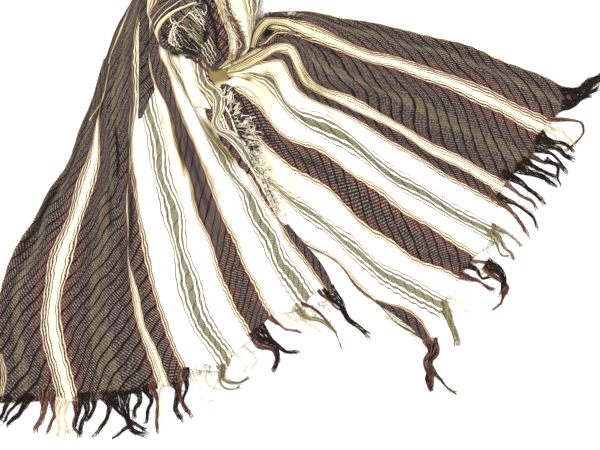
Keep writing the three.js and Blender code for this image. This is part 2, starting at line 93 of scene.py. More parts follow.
# The ends. Each line follows one place across the cloth from the knot to the hem.
# across: distance from the first selvedge on the flat cloth. x and y: its places at the end's stations.
LEFT_STATIONS = [0, 0.12, 0.2, 0.3, 0.4, 0.6, 0.8, 1]
LEFT_LINES = table("across x y", [
    (0, [-132, -176, -194, -222, -254, -338, -412, -408], [108, 20, -32, -108, -200, -340, -524, -706]),
    (94, [-130, -166, -182, -201, -220, -276, -318, -284], [108, 20, -32, -116, -200, -356, -524, -702]),
    (136, [-129, -164, -180, -199, -196, -232, -270, -236], [108, 20, -32, -116, -204, -356, -524, -702]),
    (200, [-120, -146, -158, -168, -176, -194, -204, -176], [108, 20, -32, -116, -204, -360, -524, -694]),
    (264, [-112, -132, -136, -138, -142, -145, -128, -82], [108, 20, -32, -116, -204, -368, -524, -676]),
    (293, [-111, -131, -135, -137, -141, -142, -112, -58], [108, 20, -32, -116, -204, -368, -524, -668]),
    (321, [-110, -130, -134, -135, -139, -118, -80, -35], [108, 20, -32, -116, -204, -364, -528, -639]),
    (332, [-106, -124, -124, -126, -134, -108, -70, -24], [108, 20, -32, -116, -204, -364, -528, -638]),
    (368, [-105, -122, -122, -118, -104, -66, -28, 44], [108, 16, -40, -116, -204, -360, -528, -642]),
    (412, [-92, -108, -104, -84, -64, -26, 18, 70], [108, 8, -44, -120, -204, -364, -520, -604]),
    (452, [-84, -104, -96, -66, -42, 6, 60, 102], [108, 4, -52, -120, -204, -362, -506, -578]),
    (516, [-72, -78, -64, -36, -4, 56, 110, 148], [108, 0, -40, -124, -200, -344, -460, -530]),
    (556, [-60, -68, -52, -16, 18, 86, 144, 198], [108, -4, -48, -120, -192, -312, -436, -518]),
    (598, [-48, -54, -34, 2, 40, 116, 174, 232], [108, -8, -52, -130, -192, -300, -404, -486]),
    (626, [-38, -36, -10, 28, 66, 132, 200, 262], [108, -12, -60, -124, -204, -312, -418, -492]),
    (654, [-28, -20, 6, 52, 94, 148, 214, 274], [108, -12, -64, -116, -210, -320, -404, -488]),
])
RIGHT_STATIONS = [0, 0.1, 0.2, 0.3, 0.45, 0.7, 1]
RIGHT_LINES = table("across x y", [
    (0, [104, 144, 210, 290, 384, 550, 756], [52, 76, 78, 64, 48, 4, -82]),
    (94, [98, 136, 204, 290, 380, 530, 704], [36, 64, 56, 18, -12, -60, -142]),
    (136, [88, 124, 200, 290, 380, 520, 682], [16, 40, 22, -14, -40, -96, -178]),
    (200, [72, 120, 190, 252, 350, 494, 656], [0, 24, 14, -36, -70, -140, -222]),
    (266, [52, 112, 174, 216, 300, 450, 610], [-32, 0, 12, -54, -96, -180, -266]),
    (292, [44, 116, 172, 206, 290, 440, 600], [-40, -14, -6, -72, -110, -194, -286]),
    (332, [48, 112, 156, 194, 276, 430, 594], [-46, -32, -24, -86, -126, -222, -316]),
    (368, [52, 108, 142, 178, 264, 410, 600], [-50, -44, -48, -98, -140, -248, -356]),
    (412, [12, 70, 124, 172, 256, 404, 584], [-40, -46, -64, -130, -180, -282, -386]),
    (452, [4, 56, 112, 166, 250, 390, 554], [-58, -68, -104, -164, -204, -304, -408]),
    (516, [32, 72, 114, 162, 236, 370, 516], [-96, -138, -184, -224, -272, -386, -462]),
    (556, [80, 108, 140, 178, 244, 356, 502], [-192, -220, -252, -284, -326, -418, -498]),
    (598, [92, 116, 146, 186, 260, 360, 476], [-228, -252, -280, -314, -374, -464, -532]),
    (626, [96, 116, 136, 168, 260, 356, 462], [-260, -280, -306, -352, -408, -504, -582]),
    (654, [92, 110, 130, 162, 254, 352, 454], [-274, -294, -316, -360, -416, -512, -590]),
])

# Folds that run out from the knot. start and end: the part of the way to the hem that each one takes.
LEFT_RIDGES = table("across half_width height start end", [
    (12, 14, 7, 0.0, 1.0),
    (62, 24, 9, 0.1, 0.9),
    (118, 20, 8, 0.0, 1.0),
    (172, 24, 10, 0.2, 1.0),
    (232, 24, 11, 0.0, 0.8),
    (300, 24, 13, 0.1, 1.0),
    (352, 18, 9, 0.0, 1.0),
    (396, 18, 8, 0.2, 0.9),
    (440, 18, 9, 0.0, 1.0),
    (486, 20, 11, 0.1, 0.8),
    (538, 20, 8, 0.1, 1.0),
    (586, 20, 8, 0.2, 1.0),
    (642, 16, 6, 0.3, 1.0),
])
RIGHT_RIDGES = table("across half_width height start end", [
    (12, 14, 6, 0.0, 1.0),
    (64, 24, 10, 0.2, 1.0),
    (116, 20, 11, 0.1, 0.8),
    (168, 24, 9, 0.1, 1.0),
    (226, 24, 10, 0.2, 0.9),
    (280, 20, 12, 0.0, 1.0),
    (330, 18, 9, 0.2, 1.0),
    (372, 18, 8, 0.1, 0.9),
    (420, 20, 10, 0.1, 1.0),
    (476, 22, 10, 0.4, 1.0),
    (532, 22, 8, 0.4, 0.9),
    (584, 20, 8, 0.4, 1.0),
    (640, 16, 6, 0.4, 1.0),
])
FOLD_STATIONS = [0, 0.2, 0.5, 1]
FOLD_STRENGTH = [0.2, 0.6, 1, 0.45]
FOLD_FADE = 0.12

# Wide low swells under the folds. The left end climbs over the first part of the right end.
LEFT_SWELLS = table("across across_reach along along_reach height", [
    (330, 260, 0, 0.16, 17),
    (660, 70, 0.34, 0.17, 10),
    (660, 60, 0.6, 0.12, 8),
    (250, 80, 0.62, 0.2, 4),
])
RIGHT_SWELLS = table("across across_reach along along_reach height", [
    (180, 220, 0, 0.12, 8),
    (150, 90, 0.22, 0.1, 6),
    (400, 90, 0.6, 0.2, 4),
])

# The turn of cloth over the knot, from its seam with the loop down to its tip
KNOT_SECTIONS = table("y left right height", [
    (200, -2, 122, 40),
    (168, -46, 124, 42),
    (138, -84, 126, 44),
    (108, -102, 124, 46),
    (72, -104, 116, 48),
    (34, -90, 106, 50),
    (10, -80, 100, 48),
    (0, -70, 98, 45),
    (-10, -26, 90, 39),
    (-20, 4, 68, 30),
    (-30, 16, 52, 20),
    (-38, 26, 42, 10),
])
WIDEST_SHARE = 0.34
SHOULDER_POWER = 0.7

# The strand that leaves the knot and the loop that goes round the neck
STRAND_FOOT = (-80.0, 108.5)
STRAND_HALF_WIDTH = 52.0
STRAND_HEIGHTS = (20.0, 24.0)
LOOP_SEAM_Y = 200.0
LOOP_CENTRE_X = -4.0
LOOP_RADIUS = 64.0
LOOP_HALF_WIDTH = 62.0
LOOP_END_HEIGHT = 40.0
LOOP_PLEATS = 8
PLEAT_SHOWN = 0.3
PLEAT_RISE = 5.0
PLEAT_POWER = 0.6
# Painted shade between the pleats: most in the troughs, less up each pleat
PLEAT_SHADE = 0.9
PLEAT_SHADE_FALL = 2.2
PLEAT_SWAYS = table("share length shift", [
    (0.012, 31.0, 0),
    (0.01, 17.0, 2),
])
LOOP_CRINKLE = 0.6

# Colours in daylight, sRGB 0 to 255. Bands are woven from a dark ground with pale dots.
COLOURS = {
    "charcoal": (34, 26, 28),
    "brown": (66, 33, 28),
    "olive": (74, 64, 45),
    "pale_olive": (117, 112, 88),
    "line": (60, 38, 31),
    "cream": (242, 229, 202),
    "tan": (226, 206, 176),
    "white": (247, 243, 236),
    "ivory": (234, 225, 196),
    # Painted shadow in the creases and at the bottom of deep grooves
    "painted_crease_shadow": (18, 12, 14),
    "dots": (174, 153, 139),
    "olive_dots": (194, 186, 160),
    # Painted shade: multiplied into plain and dark stripes where the cloth lies in hollows
    "painted_shade_cream": (160, 148, 98),
    "painted_shade_dark": (84, 76, 74),
    "near_knot": (229, 220, 190),
}

# The stripes from one selvedge to the other: where each one starts, mm on the flat cloth, and its colour
STRIPES = [
    (0, "cream"), (3.5, "line"), (6, "brown"), (12, "charcoal"), (36, "olive"), (54, "charcoal"),
    (76, "brown"), (93, "tan"), (95, "brown"), (98, "tan"), (100, "brown"), (103, "cream"),
    (105.5, "line"), (107.5, "ivory"), (120, "line"), (122, "cream"), (124.5, "brown"), (127.5, "tan"),
    (129.5, "brown"), (152, "charcoal"), (184, "olive"), (216, "charcoal"), (248, "brown"), (262, "tan"),
    (264, "brown"), (267, "cream"), (269.5, "line"), (271.5, "cream"), (274, "line"), (276, "ivory"),
    (286, "line"), (288, "tan"), (290.5, "brown"), (298, "charcoal"), (306, "brown"), (320, "tan"),
    (322, "brown"), (325, "cream"), (327.5, "line"), (330, "white"), (368, "line"), (370, "white"),
    (375, "pale_olive"), (379.5, "white"), (383, "pale_olive"), (396, "white"), (399.5, "pale_olive"),
    (404.5, "white"), (409, "line"), (411, "white"), (450.5, "line"), (452, "cream"), (454.5, "line"),
    (457, "tan"), (459.5, "brown"), (474, "charcoal"), (494, "brown"), (508, "tan"), (510.5, "line"),
    (512.5, "cream"), (515, "line"), (516.5, "white"), (556, "line"), (558, "white"), (563, "pale_olive"),
    (567.5, "white"), (571, "pale_olive"), (585, "white"), (588.5, "pale_olive"), (593, "white"),
    (597, "line"), (599, "white"), (626, "line"), (629, "cream"), (632, "line"), (635, "cream"),
    (638, "brown"), (650, "cream"),
]
STOPS_PER_RAMP = 16

# Weaves: plain, dashed (a line of single floating threads), olive and dark (woven with pale dots)
PLAIN = 0.0
DASHED = 0.3
OLIVE = 0.6
DARK = 1.0
DARK_FROM = 0.8
CODE_MARGIN = 0.1
WEAVE_CODES = {"line": DASHED, "pale_olive": OLIVE, "brown": DARK, "charcoal": DARK, "olive": DARK}

# How the colours wander over the cloth. A patch is its lengths across and along, in mm.
JOG = 0.7
DRIFT = 3.6
DRIFT_PATCH = (60, 34)
STREAK_REACH = 26.0
STREAK_PATCH = (2.2, 26)
RUN_PATCH = (24, 120)
RUN_SHARES = (0.32, 0.68)
RUN_SHADES = (0.62, 1.4)
CREAMY_ALONG = (330.0, 60.0)
CREAMY_PATCH = (40, 90)
CREAMY_SHARES = (0.35, 0.62)
CREAMY_SHADES = (0.4, 0.9)

# Floating threads and dots as they are coloured, and the painted shade of creases and grooves. Shown: the
# share of the colour.
DASH_LENGTH = 4.4
DASH_SLANT = 0.5
DASH_EDGE = (0.1, 0.9)
DASH_GAP_SHOWN = 0.45
GRAIN = 1.5
GRAIN_PATCH = (3.4, 3.4)
GRAIN_DETAIL = 3.0
ROWS_PER_CREASE = 4
ROW_SWING = 0.4
DOT_EDGE = (-0.1, 0.6)
DOT_SCREEN = 0.3
DOTS_SHOWN = 0.74
OLIVE_DOTS_SHOWN = 0.6
WAVER = 0.14
WAVER_PATCH = (9, 9)
THICKNESS_PATCH = (30, 30)
THICKNESS_SHARES = (0.32, 0.62)
CREASE_THICKNESS = (0.075, 0.135)
CREASE_EDGE = (0.6, 1.0)
CREASE_SHADOW_SHOWN = 0.97
OLIVE_CREASES = 0.45
DEEP_SHADOW_RANGE = (0.85, 1.3)
DEEP_SHADOW_SHOWN = 0.9

# Surfaces of the cloth and the yarn
WEAVE_RELIEF = 0.22
PLAIN_CREASE_RELIEF = 0.3
BUMP_STRENGTH = 0.8
BUMP_HEIGHT = 1.0
CLOTH_SURFACE = dict(Roughness=0.92, Sheen_Weight=0.1, Specular_IOR_Level=0.2)
YARN_SURFACE = dict(Roughness=0.95, Specular_IOR_Level=0.15)
YARN_SHADE = (0.4, 0.35, 0.3, 1)
YARN_NOISE = 700.0
YARN_SHARES = (0.35, 0.7)
YARN_PATCHY = 0.6

# Crinkles: diagonal creases, and how they sway. across and along: lengths of each sway in mm.
# lean: -1 or 1 for the side to which the creases of a piece lean. spacing: mm between two of them.
LEFT_CREASES = dict(lean=-1, spacing=17.0)
RIGHT_CREASES = dict(lean=1, spacing=19.0)
KNOT_CREASES = dict(lean=1, spacing=16.0)
CREASE_ACROSS = 0.78
CREASE_ALONG = 0.63
CRINKLE_HEIGHT = 1.1
CRINKLE_POWER = 0.7
PICK_SPACING = 4.4
CREASE_SWAYS = table("across along amount shift", [
    (210, 330, 0.24, 1.0),
    (-96, 140, 0.07, 2.2),
    (58, -74, 0.035, 0.4),
    (31, 40, 0.02, 4.1),
])

# Uneven ripples of the cloth. Waves across and along in mm, each spread about its own length.
RIPPLE_SPREAD = (0.6, 1.6)
WANDER = dict(count=12, height=3.0, across_wave=110, along_wave=130)
LONG_PUCKERS = dict(count=14, height=1.0, across_wave=34, along_wave=620)
FINE_PUCKERS = dict(count=18, height=0.3, across_wave=15, along_wave=120)
KNOT_PUCKERS = dict(count=12, height=0.8, across_wave=60, along_wave=160)
GATHER_STATIONS = [0, 0.3, 1]
GATHER_STRENGTH = [0.5, 1.0, 0.7]

# Painted shade in hollows that the height of the cloth makes. reach: steps of the grid that count as
# surroundings.
HOLLOW_DEPTH = 5.0
HOLLOW_MOST = 0.8
END_HOLLOW_REACH = 8
KNOT_HOLLOW_REACH = 4

# Places seen from above are given on the view's grid: steps of 2 mm from its upper left corner.
VIEW_STEP = 2.0
VIEW_CORNER = (-400.0, 100.0)

# Deep single creases. points: view grid. width and depth in mm. shade: how much painted shade lies along
# it, a dark painted shadow where it is deepest.
GROOVE_START = -0.02
GROOVE_FADE = 0.25
GROOVE_MOST = 1.4
LEFT_GROOVES = table("width depth shade points", [
    (6, 3, 1.4, [(166, 51), (177, 54), (189, 58), (201, 62)]),
    (3, 4, 1.4, [(115, 122), (117, 140), (119, 160), (118, 184)]),
    (5, 4, 0.8, [(112, 186), (111, 210), (112, 234)]),
    (5, 5, 0.9, [(131, 182), (132, 215), (131, 240), (128, 258)]),
    (6, 4, 0.8, [(62, 172), (56, 190), (47, 207), (35, 228), (24, 247), (14, 268)]),
    (5, 4, 0.9, [(105, 84), (101, 105), (98, 124)]),
    (4, 3, 0.8, [(166, 96), (171, 118), (177, 140), (183, 164), (186, 184)]),
    (4, 3, 0.6, [(184, 134), (190, 152), (198, 176), (206, 200), (213, 222)]),
    (8, 3, 0.45, [(156, 96), (163, 118), (171, 140), (181, 166), (190, 190), (200, 216)]),
    (7, 3, 0.4, [(176, 96), (182, 116), (190, 138), (198, 158)]),
    (7, 3, 0.35, [(203, 150), (208, 168), (216, 188), (226, 210)]),
    (10, 4, 1.05, [(200, 111), (206, 123), (215, 138), (224, 151), (233, 162), (241, 170)]),
    (5, 4, 0.6, [(134, 130), (131, 150), (133, 176), (138, 196)]),
    (5, 2, 0.35, [(246, 186), (258, 208), (270, 230)]),
    (7, 3, 0.3, [(86, 226), (90, 250), (84, 280), (88, 310)]),
    (6, 3, 0.35, [(120, 232), (124, 262), (126, 292)]),
])
RIGHT_GROOVES = table("width depth shade points", [
    (6, 6, 1.2, [(222, 76), (234, 79), (246, 80), (256, 80)]),
    (8, 8, 1.4, [(262, 37), (267, 33), (274, 32)]),
    (10, 5, 0.8, [(205, 76), (214, 82), (222, 86)]),
    (8, 3, 0.5, [(250, 84), (258, 94), (264, 106), (268, 118)]),
    (4, 3, 0.5, [(256, 80), (266, 88), (274, 98), (280, 108)]),
    (6, 3, 0.5, [(266, 66), (268, 74), (276, 86)]),
    (5, 4, 0.7, [(300, 66), (307, 80), (313, 90), (326, 96)]),
    (4, 3, 0.7, [(284, 50), (292, 62), (300, 78), (306, 92)]),
    (5, 3, 0.8, [(232, 92), (240, 106), (252, 122), (266, 136), (282, 150)]),
    (4, 2, 0.5, [(286, 150), (302, 160), (318, 166), (330, 178)]),
    (5, 3, 0.6, [(305, 42), (318, 46), (330, 52), (340, 60)]),
    (4, 3, 0.8, [(270, 30), (284, 34), (296, 38)]),
    (5, 3, 0.7, [(262, 12), (272, 16), (290, 18), (306, 20)]),
    (7, 3, 0.4, [(284, 172), (290, 184), (300, 196)]),
    (8, 3, 0.3, [(262, 150), (272, 170), (282, 192), (290, 206)]),
    (6, 3, 0.3, [(332, 204), (346, 222), (360, 236)]),
    (5, 3, 0.6, [(312, 84), (324, 92), (340, 98)]),
    (8, 2, 0.25, [(318, 106), (332, 116), (348, 128)]),
])
KNOT_GROOVES = table("width depth shade points", [
    (6, 7, 1.2, [(197, -20), (198, 4), (201, 18), (207, 34), (206, 46), (203, 56)]),
    (4, 5, 1.2, [(205, -20), (207, 2), (212, 18), (217, 34), (218, 50), (217, 62)]),
    (4, 4, 0.7, [(218, -10), (222, 12), (228, 30), (230, 48), (230, 60)]),
    (7, 6, 1.4, [(171, 48), (180, 51), (191, 54), (203, 57)]),
    (4, 4, 0.6, [(240, -8), (247, 12), (250, 30), (248, 46)]),
    (9, 3, 1, [(184, 26), (192, 34), (200, 42)]),
    (6, 3, 1, [(182, 40), (192, 47), (200, 51)]),
    (5, 3, 0.7, [(169, 26), (167, 36), (169, 46)]),
])

# Where the stripes of the knot lie. across: places on the flat cloth. columns: view grid, one for each.
KNOT_STRIPES_ACROSS = [112, 136, 160, 184, 216, 243, 262, 276, 292, 322, 331, 358, 369, 383, 397, 409]
KNOT_STRIPES = table("row columns", [
    (-50, [152, 160, 172, 184, 192, 200, 210, 214, 221, 223, 225, 238, 242, 250, 257, 262]),
    (0, [150, 158, 172, 186, 198, 206, 215, 219, 226, 228, 230, 241, 245, 252, 258, 262]),
    (10, [150, 157, 170, 184, 199, 209, 218, 222, 228, 230, 232, 244, 247, 253, 257, 261]),
    (20, [151, 158, 168, 182, 201, 213, 221, 226, 231, 235, 237, 247, 250, 253, 255, 257]),
    (30, [155, 160, 167, 182, 204, 217, 226, 230, 233, 240, 242, 249, 251, 253, 254, 255]),
    (40, [156, 158, 163, 184, 206, 218, 229, 233, 237, 245, 246, 249, 250, 251, 252, 253]),
    (50, [158, 160, 164, 184, 205, 218, 230, 234, 240, 247, 248, 249, 250, 251, 252, 253]),
    (60, [170, 174, 180, 198, 206, 218, 229, 233, 236, 238, 239, 240, 241, 242, 243, 244]),
    (69, [208, 209, 210, 211, 212, 214, 218, 219, 220, 221, 222, 222.5, 223, 223.5, 224, 225]),
])

# Folds that lie over the main cloth. Each line runs along the fold at one place across the cloth.
# points: view grid. crown: mm that the middle stands above the edges. shade: painted shade, 0 to 1, more
# towards the edges.
FOLD_GAP = 0.3
FOLD_FROM = 30.0
FOLD_ROUNDNESS = 2.4
FOLD_ENDS = (0.02, 0.98)
FOLD_END_RISE = 4
FOLD_EDGE_SHADE = 0.5
FOLD_SHADE_KEPT = 0.6
LEFT_FOLDS = [
    dict(crown=4, shade=0.1, lines=table("across points", [
        (46, [(104, 58), (99, 76), (93, 97), (86, 117)]),
        (20, [(108, 62), (104, 80), (98, 99), (88, 119)]),
        (0, [(110, 66), (107, 83), (103, 100), (90, 121)]),
    ])),
    dict(crown=4, shade=0.2, lines=table("across points", [
        (152, [(142, -6), (140, 30), (139.5, 62), (139, 92), (138.5, 119)]),
        (165, [(146, -6), (145, 30), (145, 60), (146.5, 84), (144.5, 102), (140, 119)]),
        (180, [(150, -6), (150, 30), (149, 60), (152, 78), (155, 88), (150, 99), (142, 118)]),
    ])),
    dict(crown=8, shade=0.0, lines=table("across points", [
        (522, [(179, 54), (181, 72), (185, 87), (190, 99), (195, 107)]),
        (538, [(187, 54), (189, 72), (193, 87), (198, 98), (203, 108)]),
        (555, [(194, 56), (196, 74), (199, 88), (206, 98), (212, 110)]),
    ])),
    dict(crown=5, shade=0.05, lines=table("across points", [
        (557, [(193, 56), (194, 76), (198, 88), (206, 95), (213, 102), (213, 112), (211, 122),
         (215, 132), (224, 138), (234, 147), (242, 158), (248, 170)]),
        (578, [(200, 56), (202, 76), (207, 86), (215, 92), (219, 101), (218, 112), (215, 122),
         (219, 131), (228, 135), (238, 143), (246, 154), (252, 166)]),
        (601, [(206, 57), (209, 75), (214, 84), (223, 89), (227, 99), (225, 111), (220, 121),
         (223, 128), (232, 131), (243, 139), (250, 150), (256, 162)]),
    ])),
    dict(crown=2.5, shade=0.2, lines=table("across points", [
        (637, [(204, 108), (208, 119), (214, 131), (221, 142), (229, 153), (237, 164), (246, 174)]),
        (643, [(208, 108), (212, 120), (218, 131), (226, 142), (234, 153), (242, 163), (250, 174)]),
        (650, [(213, 109), (217, 121), (223, 131), (231, 142), (238, 152), (246, 162), (253, 173)]),
    ])),
    dict(crown=3, shade=0.1, lines=table("across points", [
        (60, [(-6, 350), (-8, 372), (-6, 397)]),
        (92, [(-1, 352), (2, 373), (0, 396)]),
        (108, [(3, 354), (8, 374), (4, 395)]),
    ])),
    dict(crown=3, shade=0.1, lines=table("across points", [
        (455, [(282, 226), (292, 243), (306, 262), (318, 279), (329, 293)]),
        (472, [(285, 225), (298, 243), (312, 260), (324, 278), (332, 293)]),
        (494, [(288, 224), (303, 242), (318, 259), (329, 277), (335, 294)]),
    ])),
]
RIGHT_FOLDS = [
    dict(crown=2, shade=1.15, lines=table("across points", [
        (414, [(196, 60), (199, 70), (204, 82), (211, 93)]),
        (430, [(208, 60), (211, 69), (215, 81), (221, 91)]),
        (449, [(226, 60), (227, 67), (228, 76), (230, 86)]),
    ])),
    dict(crown=3.5, shade=0.2, lines=table("across points", [
        (462, [(217, 84), (220, 104), (222, 120), (233, 130), (243, 141), (248, 152)]),
        (484, [(225, 83), (230, 102), (236, 117), (244, 130), (251, 141), (253, 150)]),
        (500, [(233, 86), (242, 103), (248, 117), (254, 130), (258, 140), (259, 147)]),
    ])),
    dict(crown=4, shade=0.1, lines=table("across points", [
        (453, [(376, 299), (388, 303), (404, 307), (419, 317), (428, 331), (434, 344)]),
        (472, [(376, 301), (387, 306), (401, 312), (414, 322), (424, 334), (431, 345)]),
        (491, [(376, 303), (386, 309), (397, 317), (409, 326), (420, 337), (428, 346)]),
    ])),
    dict(crown=3, shade=0.45, lines=table("across points", [
        (103, [(249, 47), (253, 33), (260, 23), (269, 18), (282, 18), (296, 22), (312, 28)]),
        (116, [(252, 48), (257, 36), (263, 27), (271, 22), (283, 23), (296, 28), (312, 35)]),
        (129, [(255, 49), (260, 39), (266, 31), (273, 26), (285, 28), (296, 34), (312, 41)]),
    ])),
    dict(crown=3, shade=0.1, lines=table("across points", [
        (124, [(258, 44), (266, 40), (271, 35), (277, 31), (288, 32), (300, 35)]),
        (131, [(260, 47), (268, 43), (274, 38), (280, 34), (290, 35), (301, 38)]),
        (137, [(262, 50), (270, 46), (276, 41), (282, 37), (292, 38), (302, 41)]),
    ])),
    dict(crown=4, shade=0.3, lines=table("across points", [
        (262, [(229, 68), (241, 62), (253, 55), (264, 49), (276, 44), (288, 43)]),
        (275, [(228, 71), (242, 66), (254, 60), (265, 54), (277, 48), (288, 47)]),
        (291, [(226, 74), (243, 71), (256, 65), (267, 58), (278, 52), (288, 51)]),
    ])),
    dict(crown=4, shade=0.0, lines=table("across points", [
        (414, [(226, 82), (236, 77), (246, 80), (256, 84), (264, 92), (272, 104)]),
        (430, [(228, 84), (238, 81), (247, 85), (256, 90), (263, 98), (270, 110)]),
        (450, [(231, 87), (240, 87), (250, 91), (257, 97), (262, 106), (268, 117)]),
    ])),
]
KNOT_FOLDS = [
    dict(crown=5, shade=0.1, lines=table("across points", [
        (112, [(148, 17), (148, 8), (149, -8), (152, -40)]),
        (128, [(150, 21), (154, 12), (162, -2), (170, -40)]),
        (150, [(153, 27), (159, 16), (171, 3), (184, -40)]),
        (186, [(157, 35), (163, 23), (178, 12), (198, -40)]),
    ])),
    dict(crown=4, shade=0.0, lines=table("across points", [
        (108, [(160, 44), (156, 36), (159, 27), (166, 20), (176, 13.5), (188, 9), (198, 5)]),
        (117, [(160, 44), (158.5, 36.5), (161.5, 28.5), (168, 21.3), (177.5, 14.6), (188, 10), (198, 6)]),
        (128, [(161, 44), (160.5, 37), (163.5, 29.5), (169.5, 22.5), (178.5, 15.6), (188.5, 11),
         (198, 7)]),
    ])),
]

# Loose threads: cords that lie along a path, and short hairs scattered beside one. points: view grid.
# radius: of a hair, mm. heading and scatter: degrees.
YARN_SIDES = 4
YARN_RADIUS = 1.0
YARN_TAPER = 0.45
DYE_SPREAD = (0.8, 1.2)
SHIFT = (0, 6)
CORD_LIFT = 1.0
CORD_WOBBLE = 0.45
CORD_WAVES = (0.9, 0.8)
CORD_RADII = (0.6, 0.9)
CORD_TAPER = 0.3
HAIR_SEATS = 60
HAIR_STEPS = 7
HAIR_STIFFNESS = 36
HAIR_LENGTHS = (0.5, 1.3)
HAIR_LIFTS = (0.8, 2.2)
HAIR_RADII = (0.7, 1.2)
LEFT_CORDS = table("colour width points", [
    ("cream", 2, [(220, 94), (225, 97), (229, 96), (232, 92)]),
    ("cream", 3, [(228, 104), (231, 98), (232, 94)]),
    ("cream", 3, [(234, 110), (238, 105), (239, 103)]),
    ("cream", 2, [(230, 118), (236, 112), (238, 106)]),
    ("cream", 2, [(246, 119), (250, 118), (256, 117)]),
    ("cream", 2, [(240, 124), (245, 122), (249, 126), (251, 134), (256, 142), (262, 148)]),
    ("cream", 2, [(259, 160), (262, 172), (268, 182), (270, 194), (277, 206)]),
    ("dark", 2, [(261, 166), (265, 180), (271, 194), (275, 203)]),
    ("cream", 3, [(270, 206), (274, 205), (277, 208), (276, 212), (272, 213), (269.5, 210), (271, 206)]),
])
LEFT_HAIRS = table("colour count length radius spread heading scatter points", [
    ("cream", 30, 15, 0.85, 5, 58, 22, [(222, 93), (229, 103), (232, 116)]),
    ("cream", 36, 14, 0.85, 6, 25, 32, [(232, 118), (246, 124), (251, 138)]),
    ("cream", 56, 13, 0.75, 6, -30, 40, [(250, 132), (254, 150), (259, 168)]),
    ("cream", 90, 11, 0.7, 5, 0, 50, [(258, 160), (266, 184), (274, 204), (280, 216)]),
    ("cream", 36, 22, 0.6, 4, -12, 8, [(234, 124), (240, 132), (247, 143)]),
    ("dark", 36, 20, 0.8, 4, -12, 8, [(234, 126), (240, 134), (247, 145)]),
    ("dark", 50, 13, 0.6, 6, -50, 25, [(224, 96), (232, 112), (246, 128), (252, 146), (258, 166)]),
    ("olive", 60, 10, 0.6, 5, -20, 50, [(252, 146), (260, 166), (268, 190), (276, 212)]),
    ("dark", 24, 9, 0.6, 4, -40, 40, [(250, 150), (258, 170), (266, 190), (275, 212)]),
    ("olive", 26, 20, 0.5, 6, -60, 45, [(186, 372), (204, 366), (218, 361)]),
    ("olive", 46, 20, 0.5, 6, -45, 40, [(284, 316), (300, 309), (322, 303), (338, 300)]),
    ("cream", 60, 26, 0.5, 8, -40, 50, [(180, 380), (200, 374), (222, 378), (238, 362), (252, 352)]),
    ("cream", 40, 22, 0.5, 8, -40, 40, [(284, 322), (300, 318), (318, 318), (332, 308)]),
])
RIGHT_HAIRS = table("colour count length radius spread heading scatter points", [
    ("olive", 26, 18, 0.5, 5, -40, 40, [(484, 250), (490, 236), (497, 226)]),
    ("cream", 30, 12, 0.5, 4, 60, 35, [(250, 28), (258, 18), (268, 14)]),
    ("cream", 24, 12, 0.5, 3, 100, 35, [(286, 18), (292, 14), (296, 18)]),
    ("pale", 60, 8, 0.5, 3, -100, 40, [(378, 308), (392, 319), (406, 330), (422, 343)]),
    ("cream", 30, 20, 0.5, 6, -50, 40, [(440, 312), (452, 300), (462, 284)]),
    ("cream", 30, 18, 0.5, 6, -40, 40, [(498, 240), (500, 226), (508, 206)]),
    ("cream", 24, 18, 0.5, 5, -40, 40, [(553, 122), (562, 128), (572, 140)]),
])

